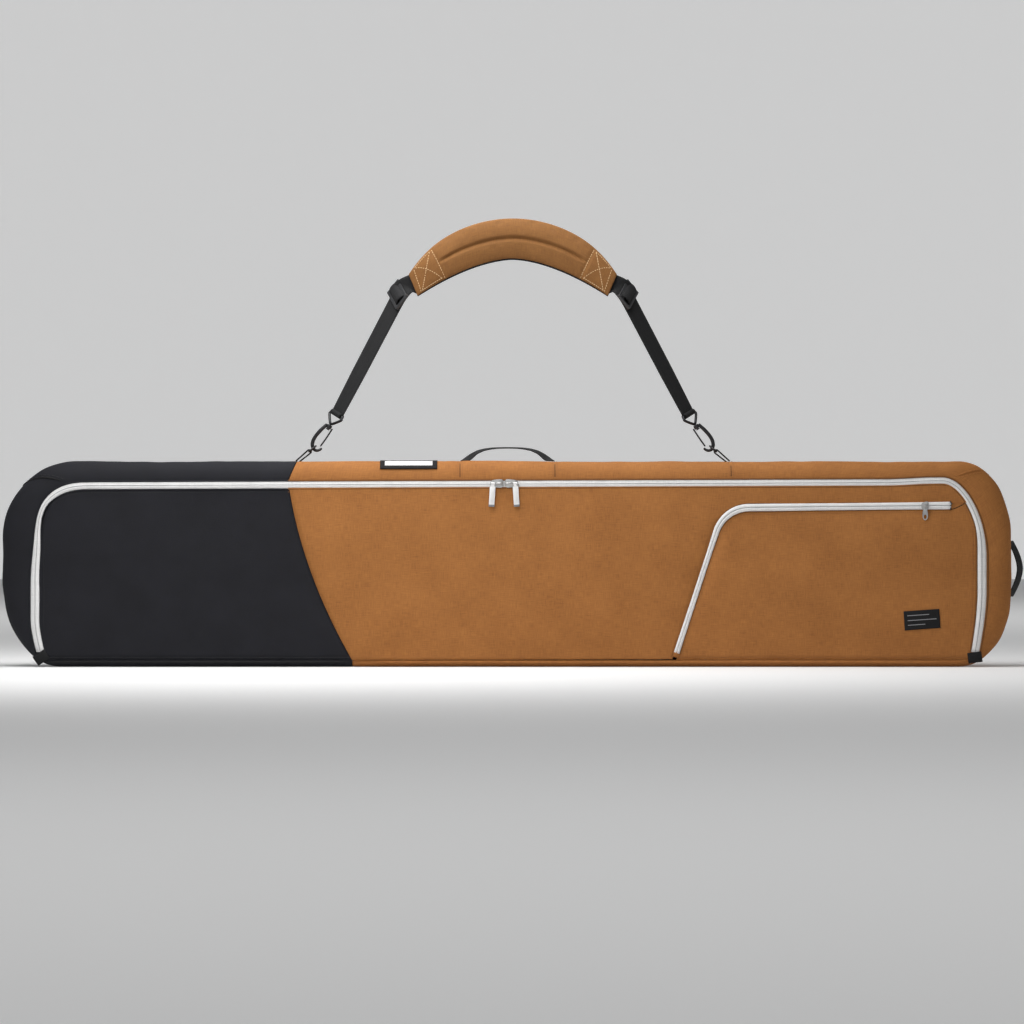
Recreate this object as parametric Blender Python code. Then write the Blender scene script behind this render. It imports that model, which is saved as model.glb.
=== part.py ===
"""Padded snowboard bag standing on its long edge, with its shoulder strap raised.

Metres, +Z up. The front with the main zip faces -Y, the length runs along X, and the origin is on
the floor under the middle of the base.
"""
import math

import bmesh
import bpy
from mathutils import Matrix, Vector

for old in list(bpy.data.objects):
    bpy.data.objects.remove(old, do_unlink=True)

# Body
BAG_LENGTH = 1.750
BAG_HEIGHT = 0.356
BAG_DEPTH = 0.140
FRONT_EDGE = 0.025
BACK_EDGE = 0.025
TOP_LEFT_CORNER = (0.130, 0.130)
TOP_RIGHT_CORNER = (0.090, 0.130)
BOTTOM_RIGHT_CORNER = (0.090, 0.130)
BOTTOM_LEFT_CORNER = (0.100, 0.150)
FABRIC = 0.0012
FOAM = 0.005
LINING = 0.0008
GAP = 0.0003

# Front opening: lip of the gusset round the zip
LIP_LEFT = 0.0505
LIP_RIGHT = 0.0425
LIP_TOP = 0.0305
LIP_BOTTOM = 0.012
LIP_LEFT_CORNER = (0.1065, 0.1065)
LIP_RIGHT_CORNER = (0.0765, 0.1365)
LIP_RIGHT_FULLNESS = 1.6
LIP_TILT = 0.0045
DRAW_IN = 0.018
DRAW_IN_HEIGHT = 0.130
FLAP_FOAM_SETBACK = 0.008
FLAP_LINING_SETBACK = 0.005

# Slanted colour seam, from the left end, and the seam on the top gusset
COLOUR_SEAM_TOP = 0.510
COLOUR_SEAM_ZIP = 0.496
COLOUR_SEAM_BOTTOM = 0.607
COLOUR_SEAM_BOW = 0.066
SEAM_RIGHT = 0.388

# Zips
ZIP_WIDTH = 0.0132
ZIP_CENTRE_GAP = 0.0012
ZIP_TAPE = 0.001
COIL_WIDTH = 0.0016
COIL_HEIGHT = 0.0006
COIL_SLOPE = 0.2
ZIP_END = 0.026
POCKET_REACH = 0.5865
POCKET_LEAN = 0.327
POCKET_DROP = 0.0509
POCKET_TILT = 0.0102
POCKET_BEND = 0.060
POCKET_END_INSET = 0.1065
POCKET_SEAM_RISE = 0.005
POCKET_LINING = 0.0006

# Sliders and pulls
SLIDER_LENGTH = 0.013
SLIDER_WIDTH = 0.010
SLIDER_PLATE = 0.0014
SLIDER_NECK = 0.0006
SLIDER_FOOT = 0.0008
PIVOT_RADIUS = 0.0009
PIVOT_STANDOFF = 0.0025
CHEEK = 0.0018
PULL_BARREL = 0.0021
PULL_THICKNESS = 0.0022
MAIN_PULL_WIDTH = 0.0105
MAIN_PULL_LENGTH = 0.041
POCKET_PULL_WIDTH = 0.0095
POCKET_PULL_LENGTH = 0.025
MAIN_SLIDER_MIDDLE = -0.005
MAIN_SLIDER_SPACING = 0.030
POCKET_SLIDER_INSET = 0.1515

# Label, ID window and webbing handles
LABEL_WIDTH = 0.062
LABEL_HEIGHT = 0.033
LABEL_THICKNESS = 0.001
LABEL_PLACE = (0.157, 0.082)
LABEL_TURN = 4.0
WINDOW_LEFT = -0.220
WINDOW_LENGTH = 0.099
WINDOW_BINDING = 0.008
WINDOW_REACH = 0.040
WINDOW_START = 36.0
WINDOW_BAR = 14.0
WINDOW_BEND = 70.0
PANE_EASE = 1.0
BINDING_THICKNESS = 0.0016
PANE = 0.0005
CARD = 0.0003
HANDLE_LEFT = -0.0814
HANDLE_RIGHT = 0.083
HANDLE_RISE = 0.0265
HANDLE_WIDTH = 0.028
HANDLE_THICKNESS = 0.0026
HANDLE_FOOT = 0.010
END_HANDLE_BOTTOM = 0.121
END_HANDLE_TOP = 0.218
END_HANDLE_RISE = 0.019

# Shoulder strap, in its own plane: distance from its middle, and height above the top of the bag
STRAP_MIDDLE = 0.010
PAD_RISE = 0.4246
PAD_WIDTH = 0.0709
PAD_OUTER_HALF = 0.1818
PAD_OUTER_DROP = 0.075
PAD_OUTER_TAPER = 0.0236
PAD_INNER_HALF = 0.1661
PAD_INNER_DROP = 0.0649
PAD_INNER_CURVE = 1.7
PAD_CROWN = 0.010
PAD_EDGE = 0.004
PAD_CHANNEL = 0.004
PAD_CHANNEL_HALF = 0.118
PAD_BACKING = 0.0015
PAD_COLUMNS = (0.0, 0.06, 0.2, 0.38, 0.47, 0.5, 0.53, 0.62, 0.8, 0.94, 1.0)
PAD_ROWS = 16
WEBBING_WIDTH = 0.038
WEBBING_THICKNESS = 0.0016
WEBBING_TUCK = 0.006
WEBBING_LEAD = 0.003
WEBBING_FOOT = (0.3047, 0.0854)
WEBBING_TWIST = 55.0
TWIST_LENGTH = 0.080
ADJUSTER_OFFSET = (0.02355, -0.0174)
ADJUSTER_LENGTH = 0.026
ADJUSTER_RAIL = 0.006
ADJUSTER_PLATE = 0.0024
ADJUSTER_BAR = 0.006
ADJUSTER_LEDGE = 0.0005
SLOT_CLEARANCE = 0.0004

# Swivel snap hooks, measured along their own axis from the foot of the webbing
HOOK_AXIS = (0.535, -0.845)
EYE_WIRE = 0.002
EYE_HEIGHT = 0.020
HEM_WALL = 0.0014
STEM_RADIUS = 0.0020
STEM_HEAD_RADIUS = 0.0034
STEM_HEAD = 0.002
COLLAR_RADIUS = 0.0046
COLLAR_LENGTH = 0.007
HOOK_LENGTH = 0.0445
HOOK_WIRE = 0.0028
HOOK_BULGE = 0.011
NOSE_RADIUS = 0.0020
GATE_WIRE = 0.0013
GATE_TIP_BACK = 0.0005
# Hook shape as shares of its length, bulge and wire, from the collar round the bow to the nose
HOOK_SHAPE = [(-0.135, 0.53, 0.75), (-0.01, 0.60, 0.93), (0.22, 0.84, 1.0), (0.49, 1.0, 1.03),
              (0.72, 0.95, 1.03), (0.89, 0.64, 1.03), (0.98, 0.14, 1.03), (0.965, -0.36, 0.96),
              (0.875, -0.71, 0.86), (0.775, -0.84, NOSE_RADIUS / HOOK_WIRE)]
HOOK_BOW = 6
RUNNING_GAP = 0.0003

# D-rings and the webbing tabs that hold them
RING_WIRE = 0.0018
RING_INSIDE = 0.026
RING_DEPTH = 0.015
RING_FULLNESS = 0.9
RING_SLACK = 0.0020
TAB_WIDTH = 0.024
TAB_THICKNESS = 0.0014
TAB_FOOT = (0.366, 0.384)
TAB_FOLD_FAR = 0.0025
TAB_FOLD_NEAR = 0.0017

CORNER_STEPS = 6
FOOT_STATIONS = 1
FOOT_TURN = 22.5
EDGE_STEPS = 4

front_y = -BAG_DEPTH / 2
back_y = BAG_DEPTH / 2
half_length = BAG_LENGTH / 2


def finish(name, colour, roughness, metallic=0.0, alpha=1.0):
    """Plain surface finish of a sub-part."""
    material = bpy.data.materials.new(name)
    material.use_nodes = True
    shader = material.node_tree.nodes["Principled BSDF"]
    shader.inputs["Base Color"].default_value = (*colour, 1.0)
    shader.inputs["Roughness"].default_value = roughness
    shader.inputs["Metallic"].default_value = metallic
    shader.inputs["Alpha"].default_value = alpha
    return material


black_fabric = finish("black_fabric", (0.017, 0.018, 0.021), 0.85)
tan_fabric = finish("tan_fabric", (0.37, 0.16, 0.05), 0.85)
zip_grey = finish("zip_grey", (0.62, 0.61, 0.60), 0.75)
pull_metal = finish("pull_metal", (0.60, 0.60, 0.60), 0.35, 1.0)
hook_metal = finish("hook_metal", (0.02, 0.02, 0.02), 0.4, 0.6)
webbing_black = finish("webbing_black", (0.010, 0.010, 0.011), 0.8)
black_plastic = finish("black_plastic", (0.015, 0.015, 0.016), 0.45)
foam_grey = finish("foam_grey", (0.25, 0.25, 0.26), 0.95)
lining_grey = finish("lining_grey", (0.10, 0.10, 0.11), 0.9)
clear_vinyl = finish("clear_vinyl", (0.9, 0.9, 0.9), 0.15, 0.0, 0.35)
card_white = finish("card_white", (0.85, 0.85, 0.85), 0.7)


def add_object(name, mesh_data, material):
    """Close a bmesh into a named object with its faces pointing out."""
    bmesh.ops.recalc_face_normals(mesh_data, faces=mesh_data.faces)
    mesh = bpy.data.meshes.new(name)
    mesh_data.to_mesh(mesh)
    mesh_data.free()
    mesh.materials.append(material)
    piece = bpy.data.objects.new(name, mesh)
    bpy.context.scene.collection.objects.link(piece)
    return piece


def smooth(piece, angle=35.0):
    """Round pieces are shaded smooth up to this angle."""
    piece.data.shade_smooth()
    piece.data.set_sharp_from_angle(angle=math.radians(angle))
    return piece


def shell(name, outer, inner, material, wrap=False, hole=()):
    """Closed wall between two matching grids of points; cells in hole are left open.

    Both sides are split along the outside's shorter diagonals, so nested walls keep their gap.
    """
    work = bmesh.new()
    rows = len(outer)
    columns = len(outer[0])
    faces_out = [[work.verts.new(point) for point in row] for row in outer]
    faces_in = [[work.verts.new(point) for point in row] for row in inner]
    borders = {}
    for i in range(rows if wrap else rows - 1):
        for j in range(columns - 1):
            if (i, j) in hole:
                continue
            after = (i + 1) % rows
            ring = [(i, j), (after, j), (after, j + 1), (i, j + 1)]
            spots = [Vector(outer[a][b]) for a, b in ring]
            turned = (spots[3] - spots[1]).length < (spots[2] - spots[0]).length
            split = ring[1:] + ring[:1] if turned else ring
            for half in (split[:3], [split[0]] + split[2:]):
                work.faces.new([faces_out[a][b] for a, b in half])
                work.faces.new([faces_in[a][b] for a, b in reversed(half)])
            for start, end in zip(ring, ring[1:] + ring[:1]):
                borders.setdefault(frozenset((start, end)), []).append((start, end))
    for uses in borders.values():
        if len(uses) == 1:
            (a, b), (c, d) = uses[0]
            work.faces.new([faces_out[c][d], faces_out[a][b], faces_in[a][b], faces_in[c][d]])
    loose = [vert for vert in work.verts if not vert.link_faces]
    bmesh.ops.delete(work, geom=loose, context='VERTS')
    return smooth(add_object(name, work, material))


def plate(name, outline, front, back, material):
    """Flat panel: an outline in the XZ plane, extruded from front to back along Y."""
    work = bmesh.new()
    face = work.faces.new([work.verts.new((x, front, z)) for x, z in outline])
    grown = bmesh.ops.extrude_face_region(work, geom=[face])
    moved = [item for item in grown["geom"] if isinstance(item, bmesh.types.BMVert)]
    bmesh.ops.translate(work, verts=moved, vec=(0.0, back - front, 0.0))
    return add_object(name, work, material)


def loft(name, sections, material, closed=False):
    """Skin a row of like sections; an open row gets flat ends."""
    work = bmesh.new()
    rings = [[work.verts.new(point) for point in section] for section in sections]
    pairs = list(zip(rings, rings[1:]))
    if closed:
        pairs.append((rings[-1], rings[0]))
    else:
        work.faces.new(rings[0])
        work.faces.new(rings[-1])
    count = len(rings[0])
    for first, second in pairs:
        for k in range(count):
            after = (k + 1) % count
            work.faces.new([first[k], first[after], second[after], second[k]])
    return add_object(name, work, material)


def tube(name, path, radii, sides, material, across, closed=False):
    """Round bar along a flat path; across is the normal of the path's plane."""
    sections = []
    last = len(path) - 1
    for k, point in enumerate(path):
        before = path[k - 1] if k or closed else path[0]
        after = path[(k + 1) % len(path)] if k < last or closed else path[last]
        side = (after - before).normalized().cross(across)
        turns = (2 * math.pi * n / sides for n in range(sides))
        sections.append([point + (side * math.cos(a) + across * math.sin(a)) * radii[k] for a in turns])
    return smooth(loft(name, sections, material, closed), 50.0)


def cut(piece, tool, operation):
    """Join or cut a piece with another solid, which stays as a wire guide."""
    change = piece.modifiers.new(tool.name, 'BOOLEAN')
    change.operation = operation
    change.object = tool
    tool.hide_render = True
    tool.display_type = 'WIRE'


def block(name, low, high, material, place=Matrix()):
    """Box between two corners, then moved by a matrix."""
    work = bmesh.new()
    bmesh.ops.create_cube(work, size=1.0)
    size = [b - a for a, b in zip(low, high)]
    middle = [(a + b) / 2 for a, b in zip(low, high)]
    bmesh.ops.scale(work, verts=work.verts, vec=size)
    bmesh.ops.translate(work, verts=work.verts, vec=middle)
    bmesh.ops.transform(work, verts=work.verts, matrix=place)
    return add_object(name, work, material)


def rod(name, start, end, radius, sides, material):
    """Straight round bar between two points."""
    run = end - start
    work = bmesh.new()
    bmesh.ops.create_cone(work, cap_ends=True, segments=sides, radius1=radius, radius2=radius,
                          depth=run.length)
    place = Matrix.Translation((start + end) / 2) @ run.to_track_quat('Z', 'Y').to_matrix().to_4x4()
    bmesh.ops.transform(work, verts=work.verts, matrix=place)
    return smooth(add_object(name, work, material), 50.0)


def pivot(name, place, parent=None):
    """Empty on a joint's axis; the pieces that move there are its children."""
    empty = bpy.data.objects.new(name, None)
    bpy.context.scene.collection.objects.link(empty)
    empty.location = place
    if parent:
        hang(empty, parent)
    empty["world"] = place
    return empty


def hang(piece, parent):
    """Parent a piece to a pivot and keep it where it was modelled."""
    piece.parent = parent
    piece.matrix_parent_inverse = Matrix.Translation(parent["world"]).inverted()


# Outlines of the body, station by station: bottom left corner, left end, top, right end, bottom

EVEN_TURNS = [90.0 * k / CORNER_STEPS for k in range(CORNER_STEPS + 1)]
RISE_STEP = (90.0 - FOOT_TURN) / (CORNER_STEPS - 1)
RISING_TURNS = [0.0] + [FOOT_TURN + RISE_STEP * k for k in range(CORNER_STEPS)]
FALLING_TURNS = [90.0 - turn for turn in reversed(RISING_TURNS)]


def corner(centre, radii, start, fullness=2.0, turns=EVEN_TURNS):
    """Quarter of a superellipse, a quarter turn clockwise from the start angle."""
    points = []
    for turn in turns:
        angle = math.radians(start - turn)
        x = math.copysign(abs(math.cos(angle)) ** (2 / fullness), math.cos(angle))
        z = math.copysign(abs(math.sin(angle)) ** (2 / fullness), math.sin(angle))
        points.append((centre[0] + radii[0] * x, centre[1] + radii[1] * z))
    return points


colour_top = COLOUR_SEAM_TOP - half_length
colour_zip = COLOUR_SEAM_ZIP - half_length
colour_bottom = COLOUR_SEAM_BOTTOM - half_length
TOP_SEAMS = [(colour_top, colour_zip), (HANDLE_LEFT, HANDLE_LEFT),
             (HANDLE_RIGHT, HANDLE_RIGHT), (SEAM_RIGHT, SEAM_RIGHT)]
BOTTOM_SEAMS = [colour_bottom]


def body_outline(inset):
    """Outline of the body seen from the front, drawn in by inset."""
    left = -half_length
    right = half_length
    ends = []
    for (rx, rz), x, z, start, turns in (
            (BOTTOM_LEFT_CORNER, left, 0.0, 270.0, RISING_TURNS),
            (TOP_LEFT_CORNER, left, BAG_HEIGHT, 180.0, EVEN_TURNS),
            (TOP_RIGHT_CORNER, right, BAG_HEIGHT, 90.0, EVEN_TURNS),
            (BOTTOM_RIGHT_CORNER, right, 0.0, 0.0, FALLING_TURNS)):
        centre = (x + math.copysign(rx, -x), z + math.copysign(rz, BAG_HEIGHT / 2 - z))
        ends.append(corner(centre, (rx - inset, rz - inset), start, turns=turns))
    top = [(x, BAG_HEIGHT - inset) for x, _ in TOP_SEAMS]
    bottom = [(x, inset) for x in BOTTOM_SEAMS]
    return ends[0] + ends[1] + top + ends[2] + ends[3] + bottom


def lip_height(x, offset):
    """Height of the line that lies offset inside the lip's top edge."""
    return BAG_HEIGHT - LIP_TOP - offset + LIP_TILT * x


def side_heights(side):
    """Heights of the stations on a straight end, from the bottom seam up."""
    reach = BOTTOM_LEFT_CORNER[1] if side < 0 else BOTTOM_RIGHT_CORNER[1]
    steps = CORNER_STEPS - FOOT_STATIONS
    return [LIP_BOTTOM + (reach - LIP_BOTTOM) * k / steps for k in range(steps + 1)]


def drawn_in(z):
    """How far the lip is drawn in towards its foot, at height z."""
    return DRAW_IN * max(0.0, 1.0 - z / DRAW_IN_HEIGHT) ** 1.5


def lip_side(side, z, offset):
    """X of the line offset inside the lip's left (-1) or right (1) edge, straight between stations."""
    lip = LIP_LEFT if side < 0 else LIP_RIGHT
    heights = side_heights(side)
    low, high = next((a, b) for a, b in zip(heights, heights[1:]) if z <= b)
    share = (z - low) / (high - low)
    drawn = drawn_in(low) * (1.0 - share) + drawn_in(high) * share
    return side * (half_length - lip - offset - drawn)


def lip_corner(side, offset):
    """Top corner of the line that lies offset inside the lip."""
    rx, rz = LIP_LEFT_CORNER if side < 0 else LIP_RIGHT_CORNER
    x = side * (half_length - (LIP_LEFT if side < 0 else LIP_RIGHT) - rx)
    centre = (x, lip_height(x, 0.0) - rz)
    if side < 0:
        return corner(centre, (rx - offset, rz - offset), 180.0)
    return corner(centre, (rx - offset, rz - offset), 90.0, LIP_RIGHT_FULLNESS)


def zip_run(offset, foot=LIP_BOTTOM):
    """The line offset inside the lip, from the left foot over the top to the right foot."""
    left = [foot] + [z for z in side_heights(-1)[1:]]
    right = [z for z in reversed(side_heights(1)[1:])] + [foot]
    points = [(lip_side(-1, z, offset), z) for z in left] + lip_corner(-1, offset)
    points += [(x, lip_height(x, offset)) for _, x in TOP_SEAMS]
    points += lip_corner(1, offset) + [(lip_side(1, z, offset), z) for z in right]
    return points


def lip_outline():
    """Closed lip, station by station like body_outline."""
    run = zip_run(0.0)
    count = FOOT_STATIONS
    left_end = -half_length + BOTTOM_LEFT_CORNER[0]
    right_end = half_length - BOTTOM_RIGHT_CORNER[0]
    before = [(left_end + (run[0][0] - left_end) * k / count, LIP_BOTTOM) for k in range(count)]
    after = [(right_end + (run[-1][0] - right_end) * k / count, LIP_BOTTOM) for k in reversed(range(count))]
    return before + run + after + [(x, LIP_BOTTOM) for x in BOTTOM_SEAMS]


def wall_section(lip, side, back, depth):
    """One section of the gusset, from the zip edge round to the back seam, depth inside the outside."""
    points = []
    quarter = [math.pi / 2 * k / EDGE_STEPS for k in range(EDGE_STEPS + 1)]
    for angle in quarter:
        share = math.sin(angle)
        y = front_y + FRONT_EDGE - (FRONT_EDGE - depth) * math.cos(angle)
        points.append((lip[0] + (side[0] - lip[0]) * share, y, lip[1] + (side[1] - lip[1]) * share))
    for angle in quarter:
        share = 1.0 - math.cos(angle)
        y = back_y - BACK_EDGE + (BACK_EDGE - depth) * math.sin(angle)
        points.append((side[0] + (back[0] - side[0]) * share, y, side[1] + (back[1] - side[1]) * share))
    return points


def gusset_grid(depth, first=0):
    """Sections of the gusset all the way round, at one depth in the wall, from the first column on."""
    sections = zip(lip_outline(), body_outline(depth), body_outline(BACK_EDGE))
    return [wall_section(lip, side, back, depth)[first:] for lip, side, back in sections]


def eased(point, towards):
    """Point moved half a gap towards its neighbour, to part two panels at their seam."""
    start = Vector(point)
    run = Vector(towards) - start
    return start + run.normalized() * (GAP / 2)


def gusset_panel(name, first, last, material):
    """Outer fabric of the gusset between two stations."""
    grids = []
    for depth in (0.0, FABRIC):
        grid = gusset_grid(depth)
        rows = [grid[k % len(grid)] for k in range(first, last + 1)]
        start = [eased(a, b) for a, b in zip(rows[0], rows[1])]
        end = [eased(a, b) for a, b in zip(rows[-1], rows[-2])]
        grids.append([start] + rows[1:-1] + [end])
    return shell(name, grids[0], grids[1], material)


PER_CORNER = CORNER_STEPS + 1
TOP_START = 2 * PER_CORNER
TOP_END = TOP_START + len(TOP_SEAMS)
LEFT_SEAM = PER_CORNER + 4
RIGHT_SEAM = TOP_END + 2
BASE_START = TOP_END + 2 * PER_CORNER - 1
BASE_SEAM = BASE_START + 1
BASE_END = BASE_SEAM + len(BOTTOM_SEAMS)

gusset_panel("end_gusset_left", 0, LEFT_SEAM, black_fabric)
gusset_panel("top_gusset_black", LEFT_SEAM, TOP_START, black_fabric)
gusset_panel("top_gusset_left", TOP_START, TOP_START + 1, tan_fabric)
gusset_panel("handle_panel", TOP_START + 1, TOP_START + 2, tan_fabric)
gusset_panel("top_gusset_middle", TOP_START + 2, TOP_START + 3, tan_fabric)
gusset_panel("top_gusset_right", TOP_START + 3, RIGHT_SEAM, tan_fabric)
gusset_panel("end_gusset_right", RIGHT_SEAM, BASE_START, tan_fabric)
gusset_panel("base_panel_tan", BASE_START, BASE_SEAM, tan_fabric)
gusset_panel("base_panel_black", BASE_SEAM, BASE_END, black_fabric)

foam_depth = FABRIC + GAP
lining_depth = foam_depth + FOAM + GAP
wall_depth = lining_depth + LINING
shell("gusset_foam", gusset_grid(foam_depth, 1), gusset_grid(foam_depth + FOAM, 1), foam_grey, wrap=True)
shell("gusset_lining", gusset_grid(lining_depth, 1), gusset_grid(wall_depth, 1), lining_grey, wrap=True)


# Back panel: two colours of fabric, foam and lining inside the back seam

def colour_seam(z):
    """X of the slanted seam between the black and the tan front, at height z."""
    share = (lip_height(0.0, 0.0) - z) / (lip_height(0.0, 0.0) - LIP_BOTTOM)
    straight = colour_bottom - colour_zip - COLOUR_SEAM_BOW
    return colour_zip + straight * share + COLOUR_SEAM_BOW * share * share


def seam_line(low, high, shift):
    """Points of the colour seam from low to high, moved sideways by shift."""
    steps = 8
    heights = [low + (high - low) * k / steps for k in range(steps + 1)]
    return [(colour_seam(z) + shift, z) for z in heights]


back_outline = body_outline(BACK_EDGE + GAP)
back_low = BACK_EDGE + GAP
back_high = BAG_HEIGHT - BACK_EDGE - GAP
left_back = back_outline[:TOP_START]
right_back = back_outline[TOP_START + 1:BASE_SEAM]
plate("back_panel_black", left_back + list(reversed(seam_line(back_low, back_high, -GAP / 2))),
      back_y - FABRIC, back_y, black_fabric)
plate("back_panel_tan", right_back + seam_line(back_low, back_high, GAP / 2),
      back_y - FABRIC, back_y, tan_fabric)
plate("back_foam", back_outline, back_y - foam_depth - FOAM, back_y - foam_depth, foam_grey)
plate("back_lining", back_outline, back_y - wall_depth, back_y - lining_depth, lining_grey)


# Front flap: hinged on the bottom seam, closed by the main zip on its other three sides

flap_foot = LIP_BOTTOM + GAP
flap_hinge = (0.0, front_y, LIP_BOTTOM + GAP / 2)
flap = pivot("flap_hinge", flap_hinge)
flap_edge = zip_run(ZIP_WIDTH, flap_foot)
flap_seam = len(side_heights(-1)) + PER_CORNER
zip_middle = ZIP_WIDTH / 2


pocket_foot_x = half_length - POCKET_REACH
pocket_top = BAG_HEIGHT - LIP_TOP - POCKET_DROP
pocket_end = half_length - POCKET_END_INSET


def pocket_line(offset):
    """Middle of the pocket zip moved sideways by offset (up and to the left is positive)."""
    lean = Vector((POCKET_LEAN, 1.0)).normalized()
    level = Vector((1.0, POCKET_TILT)).normalized()
    run_up = POCKET_LEAN * (pocket_top - flap_foot)
    meet_x = (pocket_foot_x + run_up) / (1.0 - POCKET_LEAN * POCKET_TILT)
    meet = Vector((meet_x, pocket_top + POCKET_TILT * (meet_x - pocket_foot_x)))
    turn = math.acos(lean.dot(level))
    tangent = POCKET_BEND * math.tan(turn / 2)
    centre = meet - lean * tangent + Vector((lean.y, -lean.x)) * POCKET_BEND
    run = []
    start = math.atan2(lean.x, -lean.y)
    foot_offset = Vector((-lean.y, lean.x)) * offset
    base = meet - lean * tangent + foot_offset
    drop = (base.y - flap_foot) / lean.y
    run.append(base - lean * drop)
    steps = 7
    for k in range(steps + 1):
        angle = start - turn * k / steps
        run.append(centre + Vector((math.cos(angle), math.sin(angle))) * (POCKET_BEND + offset))
    end = meet + level * ((pocket_end - meet.x) / level.x)
    run.append(end + Vector((-level.y, level.x)) * offset)
    return [(point.x, point.y) for point in run]


def flap_right(z):
    """X of the flap's right edge at height z."""
    edge = flap_edge[flap_seam:]
    for (xa, za), (xb, zb) in zip(edge, edge[1:]):
        if zb <= z <= za and za > zb:
            return xa + (xb - xa) * (za - z) / (za - zb)
    return edge[-1][0]


pocket_half = ZIP_WIDTH / 2
above_pocket = pocket_line(pocket_half + GAP)
below_pocket = pocket_line(-pocket_half - GAP)
seam_end = above_pocket[-1][1] - pocket_half + POCKET_SEAM_RISE
tan_stop = (flap_right(seam_end + GAP / 2), seam_end + GAP / 2)
pocket_start = (flap_right(seam_end - GAP / 2), seam_end - GAP / 2)
turn_point = (pocket_end + GAP, seam_end - POCKET_SEAM_RISE)
upper_right = [point for point in flap_edge[flap_seam + 1:] if point[1] > seam_end + GAP]
lower_right = [point for point in flap_edge[flap_seam + 1:] if point[1] < seam_end - GAP]

flap_pieces = []
flap_top = lip_height(colour_zip, ZIP_WIDTH)
black_side = flap_edge[:flap_seam] + list(reversed(seam_line(flap_foot, flap_top, -GAP / 2)))
flap_pieces.append(plate("front_panel_black", black_side, front_y, front_y + FABRIC, black_fabric))
tan_side = seam_line(flap_foot, flap_top, GAP / 2) + upper_right
tan_side += [tan_stop, (turn_point[0], turn_point[1] + GAP / 2)] + list(reversed(above_pocket))
flap_pieces.append(plate("front_panel_tan", tan_side, front_y, front_y + FABRIC, tan_fabric))
pocket_side = below_pocket + [(turn_point[0], turn_point[1] - GAP / 2), pocket_start] + lower_right
flap_pieces.append(plate("pocket_panel", pocket_side, front_y, front_y + FABRIC, tan_fabric))
lining_front = front_y + FABRIC + GAP
lining_back = lining_front + POCKET_LINING
flap_pieces.append(plate("pocket_lining", pocket_side, lining_front, lining_back, lining_grey))
foam_outline = zip_run(ZIP_WIDTH + FLAP_FOAM_SETBACK, flap_foot + FLAP_FOAM_SETBACK)
foam_back = lining_back + GAP + FOAM
flap_pieces.append(plate("flap_foam", foam_outline, lining_back + GAP, foam_back, foam_grey))
inside_outline = zip_run(ZIP_WIDTH + FLAP_LINING_SETBACK, flap_foot + FLAP_LINING_SETBACK)
inside_back = foam_back + GAP + LINING
flap_pieces.append(plate("flap_lining", inside_outline, foam_back + GAP, inside_back, lining_grey))


def tape_side(start, end, coil, foot):
    """Front and back grid of one half of a zip tape, with its coil along the inner edge."""
    offsets = [start, coil, coil + (end - coil) * COIL_SLOPE, end]
    rises = [0.0, 0.0, COIL_HEIGHT, COIL_HEIGHT]
    lines = [zip_run(offset, foot) for offset in offsets]
    rows = list(zip(*lines))
    front = [[(x, front_y - rise, z) for (x, z), rise in zip(row, rises)] for row in rows]
    back = [[(x, front_y + ZIP_TAPE, z) for x, z in row] for row in rows]
    return front, back


def closed_by_tab(side):
    """Folded fabric tab over one end of the main zip, between the zip's foot and the bottom seam."""
    name = "zip_end_tab_left" if side < 0 else "zip_end_tab_right"
    heights = [LIP_BOTTOM + GAP, ZIP_END - GAP]
    offsets = [GAP, zip_middle, ZIP_WIDTH - GAP]
    front = [[(lip_side(side, z, offset), front_y - COIL_HEIGHT, z) for offset in offsets] for z in heights]
    back = [[(x, front_y + ZIP_TAPE, z) for x, _, z in row] for row in front]
    shell(name, front, back, webbing_black)


half_gap = ZIP_CENTRE_GAP / 2
shell_tape = tape_side(GAP, zip_middle - half_gap, zip_middle - half_gap - COIL_WIDTH, ZIP_END)
shell("main_zip_tape_shell", *shell_tape, zip_grey)
flap_tape = tape_side(ZIP_WIDTH - GAP, zip_middle + half_gap, zip_middle + half_gap + COIL_WIDTH, ZIP_END)
flap_pieces.append(shell("main_zip_tape_flap", *flap_tape, zip_grey))
closed_by_tab(-1)
closed_by_tab(1)

pocket_coil = half_gap + COIL_WIDTH
for word, side in (("upper", 1), ("lower", -1)):
    across = (half_gap, pocket_coil - COIL_WIDTH * COIL_SLOPE, pocket_coil, pocket_half)
    rises = [COIL_HEIGHT, COIL_HEIGHT, 0.0, 0.0]
    rows = list(zip(*[pocket_line(side * offset) for offset in across]))
    front = [[(x, front_y - rise, z) for (x, z), rise in zip(row, rises)] for row in rows]
    back = [[(x, front_y + ZIP_TAPE, z) for x, z in row] for row in rows]
    flap_pieces.append(shell("pocket_zip_tape_" + word, front, back, zip_grey))

label_turn = Matrix.Rotation(math.radians(-LABEL_TURN), 4, 'Y')
label_place = Matrix.Translation((half_length - LABEL_PLACE[0], front_y - GAP, LABEL_PLACE[1])) @ label_turn
flap_pieces.append(block("label_patch", (-LABEL_WIDTH / 2, -LABEL_THICKNESS, -LABEL_HEIGHT / 2),
                         (LABEL_WIDTH / 2, 0.0, LABEL_HEIGHT / 2), webbing_black, label_place))
for piece in flap_pieces:
    hang(piece, flap)


# Zip sliders: a plate over the coils, two cheeks with a pivot bar, and a foot behind the tape

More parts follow.
